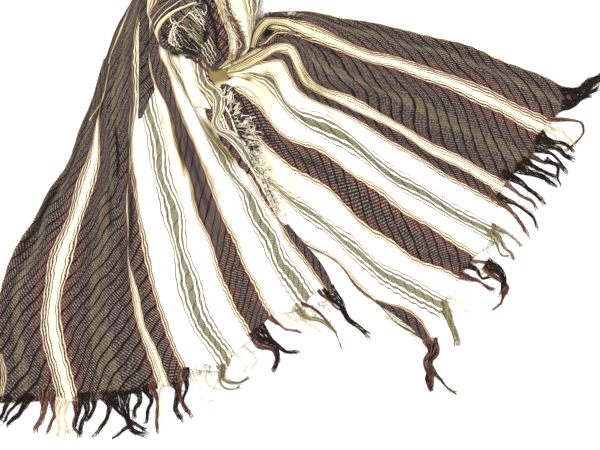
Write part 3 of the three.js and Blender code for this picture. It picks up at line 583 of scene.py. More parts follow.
# Tassels of the fringe. points: view grid, from the hem outwards. width: of the bundle, mm.
TASSEL_TUCK = 6.0
TASSEL_REACH = 0.75
TASSEL_HEIGHT = 0.42
LEAST_REACH = 0.3
LOWEST_YARN = 0.8
YARNS_PER_MM = 2.4
YARN_REACH = (0.5, 1.15)
YARN_RADII = (0.6, 1.05)
SWAY = (0.8, 1.6)
SWAY_WAVES = (8, 13)
WOBBLE = 0.8
WOBBLE_WAVES = (9, 18)
TWIST = (3, 6)
ROUNDNESS = 0.8
TIP = (0.75, 1.05)
TIP_SPREAD = 2.2
TIP_TAPER = 0.2
HEM_FLARE = 1.4
HEM_LIFT = 2.6
FUZZ_PER_MM = 3
FUZZ_STEPS = 5
FUZZ_STEP = (1.0, 2.4)
FUZZ_BEND = 1.2
FUZZ_HEIGHTS = (2.2, 1.2)
FUZZ_RADIUS = 0.35
LEFT_TASSELS = table("colour width points", [
    ("black", 6, [(-3, 398), (-7, 412), (-10, 424)]),
    ("black", 6, [(8, 398), (4, 412), (-2, 422)]),
    ("black", 7, [(29, 396), (22, 410), (12, 420), (6, 427)]),
    ("black", 5, [(24, 397), (14, 406), (6, 418), (2, 424)]),
    ("brown", 8, [(43, 395), (45, 408), (40, 420), (35, 433)]),
    ("brown", 5, [(53, 399), (54, 414), (50, 426), (45, 435)]),
    ("cream", 5, [(59, 400), (57, 414), (60, 428), (58, 440)]),
    ("cream", 5, [(66, 401), (65, 414), (67, 426), (70, 436)]),
    ("cream", 4, [(63, 401), (62, 412), (65, 425), (65, 438)]),
    ("brown", 5, [(75, 399), (76, 412), (74, 424), (78, 435)]),
    ("black", 7, [(85, 395), (87, 408), (82, 422), (80, 438)]),
    ("black", 5, [(80, 396), (80, 410), (76, 422), (74, 430)]),
    ("black", 6, [(93, 394), (94, 406), (91, 414), (85, 421)]),
    ("black", 6, [(102, 394), (109, 406), (106, 420), (93, 438)]),
    ("black", 6, [(113, 394), (120, 410), (134, 423), (150, 433)]),
    ("black", 5, [(107, 394), (116, 408), (128, 422), (136, 434)]),
    ("black", 8, [(125, 393), (126, 410), (131, 428), (148, 436)]),
    ("black", 4, [(130, 424), (124, 430), (118, 434), (112, 440)]),
    ("black", 6, [(137, 390), (140, 402), (134, 410), (135, 419)]),
    ("black", 6, [(146, 388), (151, 400), (148, 412), (145, 425)]),
    ("brown", 5, [(151, 387), (158, 400), (157, 416), (158, 435)]),
    ("cream", 4, [(162, 384), (159, 398), (161, 412), (163, 426)]),
    ("black", 8, [(171, 376), (178, 391), (176, 406), (183, 424)]),
    ("brown", 7, [(181, 372), (179, 388), (183, 404), (192, 418)]),
    ("black", 5, [(186, 370), (187, 384), (183, 400), (189, 412)]),
    ("pale", 2, [(192, 369), (199, 383), (200, 397), (208, 401), (216, 399)]),
    ("pale", 3, [(205, 362), (206, 378), (214, 388), (228, 391)]),
    ("olive", 5, [(222, 367), (225, 380), (238, 383), (250, 377)]),
    ("olive", 3, [(218, 368), (222, 384), (232, 390), (243, 386)]),
    ("pale", 3, [(230, 352), (240, 358), (246, 368), (240, 376)]),
    ("pale", 3, [(240, 345), (250, 350), (256, 360), (250, 370)]),
    ("black", 8, [(255, 333), (265, 342), (275, 345), (278, 356), (272, 373)]),
    ("black", 6, [(262, 328), (272, 340), (283, 350), (300, 353)]),
    ("brown", 6, [(252, 335), (260, 346), (272, 350), (280, 364)]),
    ("brown", 4, [(272, 318), (282, 327), (292, 330), (303, 334)]),
    ("pale", 3, [(286, 312), (298, 320), (312, 326), (326, 336)]),
    ("olive", 6, [(296, 308), (310, 318), (324, 322), (338, 333)]),
    ("brown", 3, [(304, 304), (318, 312), (330, 324), (342, 350)]),
    ("black", 8, [(330, 290), (339, 303), (349, 318), (360, 328), (371, 338)]),
    ("black", 5, [(326, 290), (334, 301), (345, 312), (356, 326)]),
    ("brown", 3, [(320, 292), (330, 302), (343, 313)]),
])
RIGHT_TASSELS = table("colour width points", [
    ("black", 10, [(573, 96), (583, 90), (592, 84), (604, 76)]),
    ("black", 7, [(564, 92), (578, 90), (590, 80), (602, 74)]),
    ("black", 6, [(565, 104), (578, 100), (590, 93), (600, 86)]),
    ("black", 5, [(560, 110), (572, 106), (582, 99), (592, 96)]),
    ("brown", 4, [(550, 119), (566, 120), (581, 124), (583, 132), (575, 144), (566, 152)]),
    ("cream", 4, [(548, 126), (560, 130), (568, 138), (577, 148)]),
    ("cream", 4, [(546, 130), (556, 137), (560, 146), (570, 150)]),
    ("black", 8, [(538, 140), (550, 146), (562, 152), (574, 161)]),
    ("black", 6, [(542, 134), (552, 142), (566, 144), (574, 154)]),
    ("black", 5, [(534, 150), (548, 152), (558, 160), (568, 173)]),
    ("dark_olive", 4, [(531, 157), (545, 162), (556, 164), (569, 174)]),
    ("black", 4, [(548, 160), (557, 168), (558, 176), (561, 186)]),
    ("black", 8, [(519, 167), (532, 174), (544, 178), (557, 187)]),
    ("black", 6, [(524, 162), (538, 168), (548, 174), (558, 178)]),
    ("black", 7, [(504, 174), (524, 185), (535, 194), (545, 205)]),
    ("brown", 5, [(501, 180), (519, 194), (530, 200), (538, 211)]),
    ("cream", 4, [(495, 188), (510, 201), (524, 206), (536, 218)]),
    ("brown", 6, [(492, 196), (508, 209), (520, 222), (530, 238)]),
    ("black", 5, [(500, 196), (518, 206), (532, 216), (537, 231)]),
    ("olive", 5, [(492, 232), (500, 240), (507, 250), (516, 261)]),
    ("olive", 4, [(494, 226), (504, 232), (514, 238), (523, 247)]),
    ("olive", 3, [(490, 236), (497, 246), (503, 256), (510, 258)]),
    ("brown", 5, [(466, 260), (478, 262), (488, 262), (496, 269)]),
    ("black", 5, [(466, 266), (476, 270), (484, 278), (492, 276)]),
    ("brown", 6, [(462, 276), (474, 279), (484, 285), (496, 290)]),
    ("cream", 2, [(470, 262), (478, 268), (476, 274), (490, 272), (496, 266)]),
    ("black", 9, [(488, 264), (498, 270), (504, 282), (500, 297)]),
    ("brown", 6, [(486, 268), (496, 278), (508, 287), (503, 296)]),
    ("brown", 4, [(505, 290), (502, 300), (498, 306), (492, 311)]),
    ("olive", 7, [(443, 303), (450, 318), (455, 332), (460, 346)]),
    ("olive", 4, [(440, 308), (448, 322), (454, 336), (455, 347)]),
    ("pale", 2, [(450, 297), (458, 301), (466, 313), (475, 328)]),
    ("brown", 10, [(430, 342), (433, 352), (427, 363), (431, 378), (429, 392)]),
    ("black", 6, [(432, 344), (431, 356), (430, 368), (427, 380), (432, 391)]),
    ("dark_olive", 4, [(431, 366), (438, 377), (448, 388), (457, 394)]),
])
KNOT_CORDS = table("colour width points", [
    ("cream", 1, [(153, 24), (160, 15), (169, 7), (178, -2)]),
    ("cream", 1, [(156, 28), (164, 18), (174, 10), (186, 2)]),
    ("brown", 6, [(186, 57), (194, 60), (202, 66), (208, 73)]),
    ("dark", 3, [(207, 75), (210, 80), (215, 85)]),
    ("brown", 4, [(205, 62), (209, 67), (214, 71), (219, 71)]),
    ("cream", 2, [(172, 19), (173, 25), (177, 27), (183, 24), (189, 18), (196, 14)]),
    ("cream", 3, [(176, 28), (173, 36), (171, 44), (176, 48)]),
    ("cream", 2, [(180, 27), (176, 36), (178, 44), (182, 50)]),
    ("cream", 1, [(178, 33), (184, 36), (192, 44), (200, 52)]),
    ("cream", 1, [(181, 37), (186, 42), (194, 50), (199, 53)]),
    ("cream", 1, [(184, 30), (190, 34), (197, 41), (203, 49)]),
    ("olive", 1, [(188, 26), (194, 31), (200, 38), (205, 45)]),
    ("dark", 2, [(182, 33), (190, 41), (197, 47), (202, 52)]),
    ("dark", 2, [(186, 29), (193, 37), (200, 45)]),
    ("dark", 2, [(191, 25), (197, 32), (203, 40)]),
    ("cream", 1, [(188, 50), (194, 52), (199, 54)]),
    ("cream", 2, [(191, 16), (196, 20), (203, 27), (207, 33)]),
    ("cream", 1, [(192, 20), (198, 26), (203, 31)]),
    ("cream", 2, [(203, 14), (206, 18), (208, 12), (207, 8)]),
    ("cream", 2, [(203, 47), (208, 55), (214, 65)]),
    ("cream", 2, [(206, 45), (211, 53), (216, 62)]),
    ("cream", 2, [(209, 43), (213, 50), (217, 58)]),
    ("cream", 2, [(203, 52), (207, 59), (212, 67)]),
    ("olive", 1, [(211, 39), (214, 45), (217, 51)]),
    ("dark", 2, [(218, 65), (224, 57), (230, 50)]),
    ("dark", 2, [(218, 58), (224, 50), (230, 42)]),
    ("dark", 2, [(217, 50), (223, 42), (228, 34)]),
    ("dark", 2, [(216, 42), (221, 34), (226, 26)]),
    ("dark", 2, [(213, 33), (218, 25), (222, 17)]),
    ("dark", 2, [(210, 24), (214, 16), (218, 9)]),
    ("dark", 2, [(208, 15), (212, 8), (215, 1)]),
    ("cream", 1, [(216, 0), (219, 8), (222, 18), (226, 27)]),
    ("brown", 1, [(222, 0), (225, 9), (229, 20), (233, 30)]),
    ("cream", 1, [(226, 28), (229, 36), (231, 48), (230, 58)]),
    ("cream", 1, [(229, 32), (236, 38), (242, 48), (240, 51)]),
    ("cream", 1, [(231, 14), (238, 22), (243, 32), (247, 42)]),
    ("brown", 1, [(232, 22), (237, 28), (242, 37), (246, 47)]),
    ("brown", 1, [(231, 28), (236, 35), (240, 43), (243, 50)]),
])
KNOT_HAIRS = table("colour count length radius spread heading scatter points", [
    ("cream", 55, 9, 0.5, 3, -70, 35, [(174, 20), (176, 30), (173, 40), (179, 50)]),
    ("cream", 26, 22, 0.5, 6, -42, 9, [(180, 28), (186, 33), (192, 38)]),
    ("dark", 110, 22, 0.5, 7, -42, 9, [(180, 30), (187, 36), (193, 44)]),
    ("olive", 40, 22, 0.5, 6, -42, 9, [(180, 24), (188, 30), (194, 38)]),
    ("cream", 40, 12, 0.5, 4, -60, 25, [(196, 2), (198, 12), (202, 22)]),
    ("cream", 50, 15, 0.5, 4, -62, 14, [(220, 2), (224, 12), (230, 26), (234, 40)]),
    ("brown", 40, 14, 0.5, 5, -62, 14, [(224, 4), (228, 16), (234, 30), (238, 42)]),
    ("olive", 40, 11, 0.5, 5, -75, 25, [(234, 52), (236, 58), (234, 62)]),
    ("brown", 40, 9, 0.5, 4, 0, 12, [(234, 20), (238, 30), (243, 44)]),
])
THREAD_COLOURS = {
    "pale": [(236, 228, 206), (222, 210, 182), (246, 240, 224)],
    "dark_olive": [(74, 68, 50), (58, 52, 40), (96, 88, 66)],
    "cream": [(240, 230, 204), (222, 210, 178), (248, 241, 222)],
    "olive": [(150, 140, 104), (112, 102, 74), (184, 172, 132)],
    "dark": [(40, 30, 28), (58, 44, 40), (30, 22, 24)],
    "brown": [(110, 66, 56), (84, 48, 42), (150, 110, 90)],
    "black": [(38, 27, 22), (50, 36, 30), (30, 22, 20)],
}

rng = np.random.default_rng(20260)


# Camera, lights and floor

def linked(name, data):
    made = bpy.data.objects.new(name, data)
    bpy.context.scene.collection.objects.link(made)
    return made


def make_camera():
    data = bpy.data.cameras.new("camera")
    data.sensor_width = SENSOR
    data.lens = SENSOR * VIEW_HEIGHT / VIEW_WIDTH
    data.clip_end = VIEW_REACH
    camera = linked("camera", data)
    camera.location = (VIEW_CENTRE[0] * MM, VIEW_CENTRE[1] * MM, VIEW_HEIGHT * MM)
    bpy.context.scene.camera = camera


def make_light(name, place, aim, size, power):
    data = bpy.data.lights.new(name, "AREA")
    data.shape = "DISK"
    data.size = size
    data.energy = power
    light = linked(name, data)
    light.location = place
    direction = np.array(aim) - np.array(place)
    yaw = math.atan2(direction[1], direction[0])
    pitch = math.atan2(math.hypot(direction[0], direction[1]), -direction[2])
    light.rotation_euler = (pitch, 0, yaw - math.pi / 2)


def make_studio():
    world = bpy.data.worlds.new("studio")
    world.use_nodes = True
    background = world.node_tree.nodes["Background"]
    background.inputs["Color"].default_value = (1.0, 1.0, 1.0, 1)
    background.inputs["Strength"].default_value = WORLD_STRENGTH
    bpy.context.scene.world = world
    bpy.context.scene.view_settings.view_transform = "Standard"
    for light in LIGHTS:
        make_light(**light)

    mesh = bpy.data.meshes.new("floor")
    corners = [(FLOOR_REACH * x, FLOOR_REACH * y, 0) for x, y in ((-1, -1), (1, -1), (1, 1), (-1, 1))]
    mesh.from_pydata(corners, [], [(0, 1, 2, 3)])
    floor = linked("floor", mesh)
    material = bpy.data.materials.new("floor_paper")
    material.use_nodes = True
    shader = material.node_tree.nodes["Principled BSDF"]
    shader.inputs["Base Color"].default_value = (FLOOR_GREY, FLOOR_GREY, FLOOR_GREY, 1)
    shader.inputs["Roughness"].default_value = FLOOR_ROUGHNESS
    mesh.materials.append(material)


# Curves and surfaces worked out from the tables

def curve_through(knots, values, at):
    """Values between knots on a curve that never swings past them; values may hold many columns."""
    knots = np.asarray(knots, float)
    values = np.asarray(values, float)
    at = np.asarray(at, float)
    step = np.diff(knots).reshape((-1,) + (1,) * (values.ndim - 1))
    rise = np.diff(values, axis=0) / step
    slope = np.empty_like(values)
    slope[0] = rise[0]
    slope[-1] = rise[-1]
    before = rise[:-1]
    after = rise[1:]
    middle = (before * step[1:] + after * step[:-1]) / (step[1:] + step[:-1])
    limit = np.minimum(np.minimum(abs(before), abs(after)), abs(middle) / 2)
    slope[1:-1] = (np.sign(before) + np.sign(after)) * limit
    i = np.clip(np.searchsorted(knots, at) - 1, 0, len(knots) - 2)
    shape = (-1,) + (1,) * (values.ndim - 1)
    span = (knots[i + 1] - knots[i]).reshape(shape)
    t = (at - knots[i]).reshape(shape) / span
    start = values[i] + t * t * (3 - 2 * t) * (values[i + 1] - values[i])
    return start + span * t * (1 - t) * ((1 - t) * slope[i] - t * slope[i + 1])


def smooth_step(at, low, high):
    t = np.clip((at - low) / (high - low), 0, 1)
    return t * t * (3 - 2 * t)


def bell(distance):
    return np.exp(-distance * distance)


def on_floor(points):
    """View grid places to millimetres on the floor."""
    points = np.asarray(points, float)
    x = VIEW_CORNER[0] + VIEW_STEP * points[..., 0]
    y = VIEW_CORNER[1] - VIEW_STEP * points[..., 1]
    return np.stack([x, y], axis=-1)


def path_through(points, count):
    """Even steps along a smooth path through a few places on the view grid."""
    corners = on_floor(points)
    way = np.concatenate([[0], np.cumsum(np.linalg.norm(np.diff(corners, axis=0), axis=1))])
    return curve_through(way, corners, np.linspace(0, way[-1], count))


def fan_plan(stations, lines, along, across):
    """x and y on the floor, a row for each place along the end and a column for each across it."""
    knots = [line["across"] for line in lines]
    places = []
    for axis in ("x", "y"):
        by_station = np.array([line[axis] for line in lines], float).T
        by_row = curve_through(stations, by_station, along)
        places.append(curve_through(knots, by_row.T, across).T)
    return places


def underside(ridges, swells, across, along):
    folds = np.zeros_like(across)
    for ridge in ridges:
        share = bell((across - ridge["across"]) / ridge["half_width"])
        start, end = ridge["start"], ridge["end"]
        if start > 0:
            share = share * smooth_step(along, start - FOLD_FADE, start + FOLD_FADE)
        if end < 1:
            share = share * (1 - smooth_step(along, end - FOLD_FADE, end + FOLD_FADE))
        folds += ridge["height"] * share
    lift = np.zeros_like(across)
    for swell in swells:
        sideways = bell((across - swell["across"]) / swell["across_reach"])
        lift += swell["height"] * sideways * bell((along - swell["along"]) / swell["along_reach"])
    strength = curve_through(FOLD_STATIONS, FOLD_STRENGTH, along.ravel()).reshape(along.shape)
    return np.maximum(0, folds * strength + lift - TROUGH_DEPTH)


def crease_count(across, along, slant):
    """How many diagonal creases lie before each place. A whole number is the bottom of one."""
    count = (CREASE_ACROSS * across - CREASE_ALONG * slant["lean"] * along) / slant["spacing"]
    for sway in CREASE_SWAYS:
        turn = 2 * math.pi * (across / sway["across"] + along / sway["along"])
        count = count + sway["amount"] * np.sin(turn + sway["shift"])
    return count


def pick_count(across, along, slant):
    """How many twill rows lie before each place. They lean against the creases."""
    return (CREASE_ACROSS * across + CREASE_ALONG * slant["lean"] * along) / PICK_SPACING


def crinkle(creases):
    return CRINKLE_HEIGHT * np.abs(np.sin(math.pi * creases)) ** CRINKLE_POWER


def ripples(across, along, count, height, across_wave, along_wave):
    """Fine uneven puckers, longer along the cloth than across it."""
    total = np.zeros_like(across)
    for _ in range(count):
        u_wave = across_wave * rng.uniform(*RIPPLE_SPREAD)
        v_wave = along_wave * rng.uniform(*RIPPLE_SPREAD) * rng.choice([-1, 1])
        total += np.sin(2 * math.pi * (across / u_wave + along / v_wave) + rng.uniform(0, 2 * math.pi))
    return height * total / math.sqrt(count)


def wander(x, y, distance):
    """The cloth moved sideways on the floor, so that its stripes wave as crinkled cloth makes them."""
    side_x = np.gradient(x, axis=1)
    side_y = np.gradient(y, axis=1)
    step = np.hypot(side_x, side_y)
    return x + distance * side_x / step, y + distance * side_y / step


def groove_share(x, y, groove):
    """1 along a line on the floor, down to 0 at its sides and its two ends."""
    path = path_through(groove["points"], GROOVE_STEPS * len(groove["points"]))
    nearest = np.full(x.shape, np.inf)
    way = np.zeros(x.shape)
    for k, (start, end) in enumerate(zip(path[:-1], path[1:])):
        run = end - start
        t = ((x - start[0]) * run[0] + (y - start[1]) * run[1]) / (run @ run)
        t = np.clip(t, 0, 1)
        gap = np.hypot(x - start[0] - t * run[0], y - start[1] - t * run[1])
        closer = gap < nearest
        nearest = np.where(closer, gap, nearest)
        way = np.where(closer, (k + t) / (len(path) - 1), way)
    fade = smooth_step(way, GROOVE_START, GROOVE_FADE)
    fade = fade * (1 - smooth_step(way, 1 - GROOVE_FADE, 1 - GROOVE_START))
    return bell(nearest / groove["width"]) * fade


def carve(x, y, z, painted_shade, grooves):
    for groove in grooves:
        # Each groove cuts into the cloth and adds painted shade along it
        share = groove_share(x, y, groove)
        z = z - groove["depth"] * share
        painted_shade = painted_shade + groove["shade"] * share
    return z, np.clip(painted_shade, 0, GROOVE_MOST)


def hollowness(height, reach):
    """How far each point of a grid of heights lies below its surroundings, as a share: the painted shade
    of its hollows.
    """
    smooth = height
    kernel = np.hanning(2 * reach + 3)[1:-1]
    kernel /= kernel.sum()
    for axis in (0, 1):
        margins = [(reach, reach) if a == axis else (0, 0) for a in (0, 1)]
        padded = np.pad(smooth, margins, mode="edge")
        smooth = np.apply_along_axis(lambda line: np.convolve(line, kernel, mode="valid"), axis, padded)
    return np.clip((smooth - height) / HOLLOW_DEPTH, 0, HOLLOW_MOST)


# Materials

def linear(colour):
    share = np.array(colour, float) / 255
    low = share / 12.92
    high = ((share + 0.055) / 1.055) ** 2.4
    return tuple(float(value) for value in np.where(share <= 0.04045, low, high))


class Graph:
    """Short names for the shader nodes that the cloth is made from."""

    def __init__(self, material):
        material.use_nodes = True
        self.tree = material.node_tree
        self.shader = self.tree.nodes["Principled BSDF"]
        self.cloth = ()

    def node(self, kind, **settings):
        made = self.tree.nodes.new(kind)
        for name, value in settings.items():
            setattr(made, name, value)
        return made

    def feed(self, socket, value):
        if isinstance(value, bpy.types.NodeSocket):
            self.tree.links.new(value, socket)
        elif value is not None:
            socket.default_value = value

    def math(self, operation, a, b=None, c=None):
        made = self.node("ShaderNodeMath", operation=operation)
        for socket, value in zip(made.inputs, (a, b, c)):
            self.feed(socket, value)
        return made.outputs[0]

    def times(self, a, b):
        return self.math("MULTIPLY", a, b)

    def plus(self, a, b):
        return self.math("ADD", a, b)

    def less(self, a, b):
        return self.math("SUBTRACT", a, b)

    def rest(self, share):
        return self.less(1.0, share)

    def wave(self, value, length):
        return self.math("SINE", self.times(value, 2 * math.pi / length))

    def between(self, value, low, high, out_low=0.0, out_high=1.0):
        made = self.node("ShaderNodeMapRange", interpolation_type="SMOOTHSTEP")
        for socket, number in zip(made.inputs, (value, low, high, out_low, out_high)):
            self.feed(socket, number)
        return made.outputs[0]

    def mix(self, share, a, b, blend="MIX"):
        made = self.node("ShaderNodeMix", data_type="RGBA", blend_type=blend)
        self.feed(made.inputs[0], share)
        self.feed(made.inputs[6], a)
        self.feed(made.inputs[7], b)
        return made.outputs[2]

    def noise(self, vector, scale, detail=2.0):
        made = self.node("ShaderNodeTexNoise")
        self.feed(made.inputs["Vector"], vector)
        made.inputs["Scale"].default_value = scale
        made.inputs["Detail"].default_value = detail
        return made.outputs["Fac"]

    def patches(self, lengths, detail=2.0):
        """Uneven patches, 0 to 1, with their lengths across and along the cloth."""
        x, y = (self.times(way, 1 / length) for way, length in zip(self.cloth, lengths))
        return self.noise(self.vector(x, y), 1.0, detail)

    def unevenness(self, lengths, detail=2.0):
        return self.less(self.patches(lengths, detail), 0.5)

    def vector(self, x, y):
        made = self.node("ShaderNodeCombineXYZ")
        for socket, value in zip(made.inputs, (x, y)):
            self.feed(socket, value)
        return made.outputs[0]

    def attribute(self, name, output="Fac"):
        return self.node("ShaderNodeAttribute", attribute_name=name).outputs[output]

    def ramp(self, share, stops):
        made = self.node("ShaderNodeValToRGB")
        ramp = made.color_ramp
        ramp.interpolation = "CONSTANT"
        while len(ramp.elements) < len(stops):
            ramp.elements.new(1.0)
        for element, (position, colour) in zip(ramp.elements, stops):
            element.position = position
            element.color = colour
        self.feed(made.inputs["Fac"], share)
        return made.outputs["Color"], made.outputs["Alpha"]

    def stripes(self, across):
        """Colour and weave code of the stripe at a place across the cloth."""
        colour, code = None, None
        for first in range(0, len(STRIPES), STOPS_PER_RAMP):
            rows = STRIPES[first:first + STOPS_PER_RAMP]
            low = rows[0][0]
            high = [*STRIPES, (CLOTH_WIDTH,)][first + len(rows)][0]
            stops = [((start - low) / (high - low), (*linear(COLOURS[name]), WEAVE_CODES.get(name, PLAIN)))
                     for start, name in rows]
            share = self.math("DIVIDE", self.less(across, float(low)), float(high - low))
            next_colour, next_code = self.ramp(share, stops)
            if colour is None:
                colour, code = next_colour, next_code
                continue
            past = self.math("GREATER_THAN", across, float(low))
            colour = self.mix(past, colour, next_colour)
            code = self.plus(self.times(code, self.rest(past)), self.times(next_code, past))
        return colour, code


def paint(name):
    return (*linear(COLOURS[name]), 1)


def set_inputs(shader, **values):
    for name, value in values.items():
        shader.inputs[name.replace("_", " ")].default_value = value


def make_cloth_material():
    """Striped twill: its stripes, dots and floating threads, with painted shade in its creases, hollows
    and grooves.
    """
    material = bpy.data.materials.new("striped_twill")
    graph = Graph(material)
    split = graph.node("ShaderNodeSeparateXYZ")
    graph.feed(split.inputs[0], graph.node("ShaderNodeUVMap", uv_map="cloth").outputs[0])
    across = graph.times(split.outputs[0], CLOTH_WIDTH)
    along = graph.times(split.outputs[1], CLOTH_LENGTH)
    graph.cloth = (across, along)
    creases = graph.attribute("creases")
    picks = graph.attribute("picks")
    # Painted shade of hollows, grooves, folds and pleats
    painted_shade = graph.attribute("painted_shade")

    # Stripes jog where a crease pulls them, and dark bands run into each other
    jog = graph.times(graph.wave(creases, 1.0), JOG)
    drift = graph.times(graph.unevenness(DRIFT_PATCH), DRIFT)
    pulled = graph.plus(across, graph.plus(jog, drift))
    colour, code = graph.stripes(pulled)
    streaks = graph.times(graph.unevenness(STREAK_PATCH), STREAK_REACH)
    soft_colour, soft_code = graph.stripes(graph.plus(pulled, streaks))
    dark = graph.math("GREATER_THAN", code, DARK_FROM)
    both_dark = graph.times(dark, graph.math("GREATER_THAN", soft_code, DARK_FROM))
    colour = graph.mix(both_dark, colour, soft_colour)
    runs = graph.between(graph.patches(RUN_PATCH), *RUN_SHARES, *RUN_SHADES)
    colour = graph.mix(dark, colour, runs, "MULTIPLY")
    olive = graph.math("COMPARE", code, OLIVE, CODE_MARGIN)
    dashed = graph.math("COMPARE", code, DASHED, CODE_MARGIN)

    # Floating threads show as slanted dashes
    slant = graph.plus(along, graph.times(across, DASH_SLANT))
    gaps = graph.times(dashed, graph.between(graph.wave(slant, DASH_LENGTH), *DASH_EDGE))
    colour = graph.mix(graph.times(gaps, DASH_GAP_SHOWN), colour, paint("cream"))

    # Plain stripes are tinted creamy near the knot, in patches
    near = graph.between(along, *CREAMY_ALONG)
    patchy = graph.between(graph.patches(CREAMY_PATCH), *CREAMY_SHARES, *CREAMY_SHADES)
    plain = graph.rest(dark)
    cream_share = graph.times(graph.times(near, patchy), plain)
    colour = graph.mix(cream_share, colour, paint("near_knot"), "MULTIPLY")

    # Pale dots of the woven bands, in twill rows that lean against the creases
    grain = graph.times(graph.unevenness(GRAIN_PATCH, GRAIN_DETAIL), GRAIN)
    rows = graph.plus(graph.times(graph.wave(creases, 1 / ROWS_PER_CREASE), ROW_SWING), 1 - ROW_SWING)
    weave = graph.plus(graph.times(graph.times(graph.wave(picks, 1.0), rows), 0.5), grain)
    dots = graph.between(weave, *DOT_EDGE)
    dot_colour = graph.mix(DOT_SCREEN, paint("dots"), colour, "SCREEN")
    colour = graph.mix(graph.times(graph.times(dots, dark), DOTS_SHOWN), colour, dot_colour)
    olive_dots = graph.times(graph.times(dots, olive), OLIVE_DOTS_SHOWN)
    colour = graph.mix(olive_dots, colour, paint("olive_dots"))

    # Creases: painted shade, sharp and dark in the woven bands
    waver = graph.times(graph.unevenness(WAVER_PATCH), WAVER)
    count = graph.plus(creases, waver)
    valley = graph.less(graph.math("FRACT", graph.plus(count, 0.5)), 0.5)
    thickness = graph.between(graph.patches(THICKNESS_PATCH), *THICKNESS_SHARES, *CREASE_THICKNESS)
    depth = graph.math("DIVIDE", graph.math("ABSOLUTE", valley), thickness)
    line = graph.rest(graph.between(depth, *CREASE_EDGE))
    woven = graph.plus(dark, graph.times(olive, OLIVE_CREASES))
    colour = graph.mix(graph.times(graph.times(line, woven), CREASE_SHADOW_SHOWN), colour, paint("painted_crease_shadow"))

    # Painted shade in hollows and grooves, and painted shadow at the bottom of deep grooves
    colour = graph.mix(graph.times(painted_shade, plain), colour, paint("painted_shade_cream"), "MULTIPLY")
    colour = graph.mix(graph.times(painted_shade, dark), colour, paint("painted_shade_dark"), "MULTIPLY")
    deep_shadow = graph.times(graph.between(painted_shade, *DEEP_SHADOW_RANGE), DEEP_SHADOW_SHOWN)
    colour = graph.mix(deep_shadow, colour, paint("painted_crease_shadow"))
    graph.feed(graph.shader.inputs["Base Color"], colour)

    relief = graph.times(graph.times(line, graph.plus(woven, PLAIN_CREASE_RELIEF)), -1.0)
    relief = graph.plus(relief, graph.times(weave, WEAVE_RELIEF))
    bump = graph.node("ShaderNodeBump")
    set_inputs(bump, Strength=BUMP_STRENGTH, Distance=BUMP_HEIGHT * MM)
    graph.feed(bump.inputs["Height"], relief)
    graph.feed(graph.shader.inputs["Normal"], bump.outputs["Normal"])
    set_inputs(graph.shader, **CLOTH_SURFACE)
    return material


def make_yarn_material():
    material = bpy.data.materials.new("fringe_yarn")
    graph = Graph(material)
    place = graph.node("ShaderNodeTexCoord").outputs["Object"]
    patchy = graph.times(graph.between(graph.noise(place, YARN_NOISE), *YARN_SHARES), YARN_PATCHY)
    colour = graph.mix(patchy, graph.attribute("dye", "Color"), YARN_SHADE, "MULTIPLY")
    graph.feed(graph.shader.inputs["Base Color"], colour)
    set_inputs(graph.shader, **YARN_SURFACE)
    return material


# Cloth

def shown(name, mesh, material):
    mesh.materials.append(material)
    mesh.polygons.foreach_set("use_smooth", [True] * len(mesh.polygons))
    mesh.update()
    return linked(name, mesh)


class Cloth:
    """Grids of cloth gathered into one shell. Lengths in millimetres."""

    def __init__(self, slant):
        self.slant = slant
        self.points = []
        self.faces = []
        self.uv = []
        self.fields = {"painted_shade": [], "creases": [], "picks": []}
        self.size = 0

    def add(self, x, y, z, across, along, painted_shade, creases):
        """A grid of places, its places on the flat cloth, its painted shade and its count of creases."""
        rows, columns = x.shape
        ids = self.size + np.arange(rows * columns).reshape(rows, columns)
        corners = [ids[:-1, :-1], ids[:-1, 1:], ids[1:, 1:], ids[1:, :-1]]
        self.faces.append(np.stack(corners, axis=-1).reshape(-1, 4))
        self.points.append(np.stack([x, y, z], axis=-1).reshape(-1, 3))
        self.uv.append(np.stack([across / CLOTH_WIDTH, along / CLOTH_LENGTH], axis=-1).reshape(-1, 2))
        picks = pick_count(across, along, self.slant)
        for field, values in zip(self.fields.values(), (painted_shade, creases, picks)):
            field.append(values.ravel())
        self.size += rows * columns

    def tree(self):
        points = np.concatenate(self.points)
        return BVHTree.FromPolygons(points.tolist(), np.concatenate(self.faces).tolist())

    def piece(self, name, material):
        faces = np.concatenate(self.faces)
        mesh = bpy.data.meshes.new(name)
        mesh.from_pydata((np.concatenate(self.points) * MM).tolist(), [], faces.tolist())
        layer = mesh.uv_layers.new(name="cloth")
        corners = np.concatenate(self.uv)[faces.ravel()]
        layer.data.foreach_set("uv", corners.astype(np.float32).ravel())
        for field, values in self.fields.items():
            attribute = mesh.attributes.new(field, "FLOAT", "POINT")
            attribute.data.foreach_set("value", np.concatenate(values).astype(np.float32))
        made = shown(name, mesh, material)
        solidify = made.modifiers.new("thickness", "SOLIDIFY")
        solidify.thickness = SHELL * MM
        solidify.offset = 0
        return made


def surface_under(trees, x, y):
    """Height of the highest cloth at each place, 0 on the bare floor."""
    heights = np.zeros(x.size)
    for k, (px, py) in enumerate(zip(x.ravel(), y.ravel())):
        for tree in trees:
            hit = tree.ray_cast((px, py, RAY_START), (0, 0, -1))[0]
            if hit is not None:
                heights[k] = max(heights[k], hit[2])
    return heights.reshape(x.shape)


def smoothed(values, rounds):
    for _ in range(rounds):
        padded = np.pad(values, 1, mode="edge")
        values = (padded[:-2, 1:-1] + padded[2:, 1:-1] + padded[1:-1, :-2] + padded[1:-1, 2:]) / 4
    return values


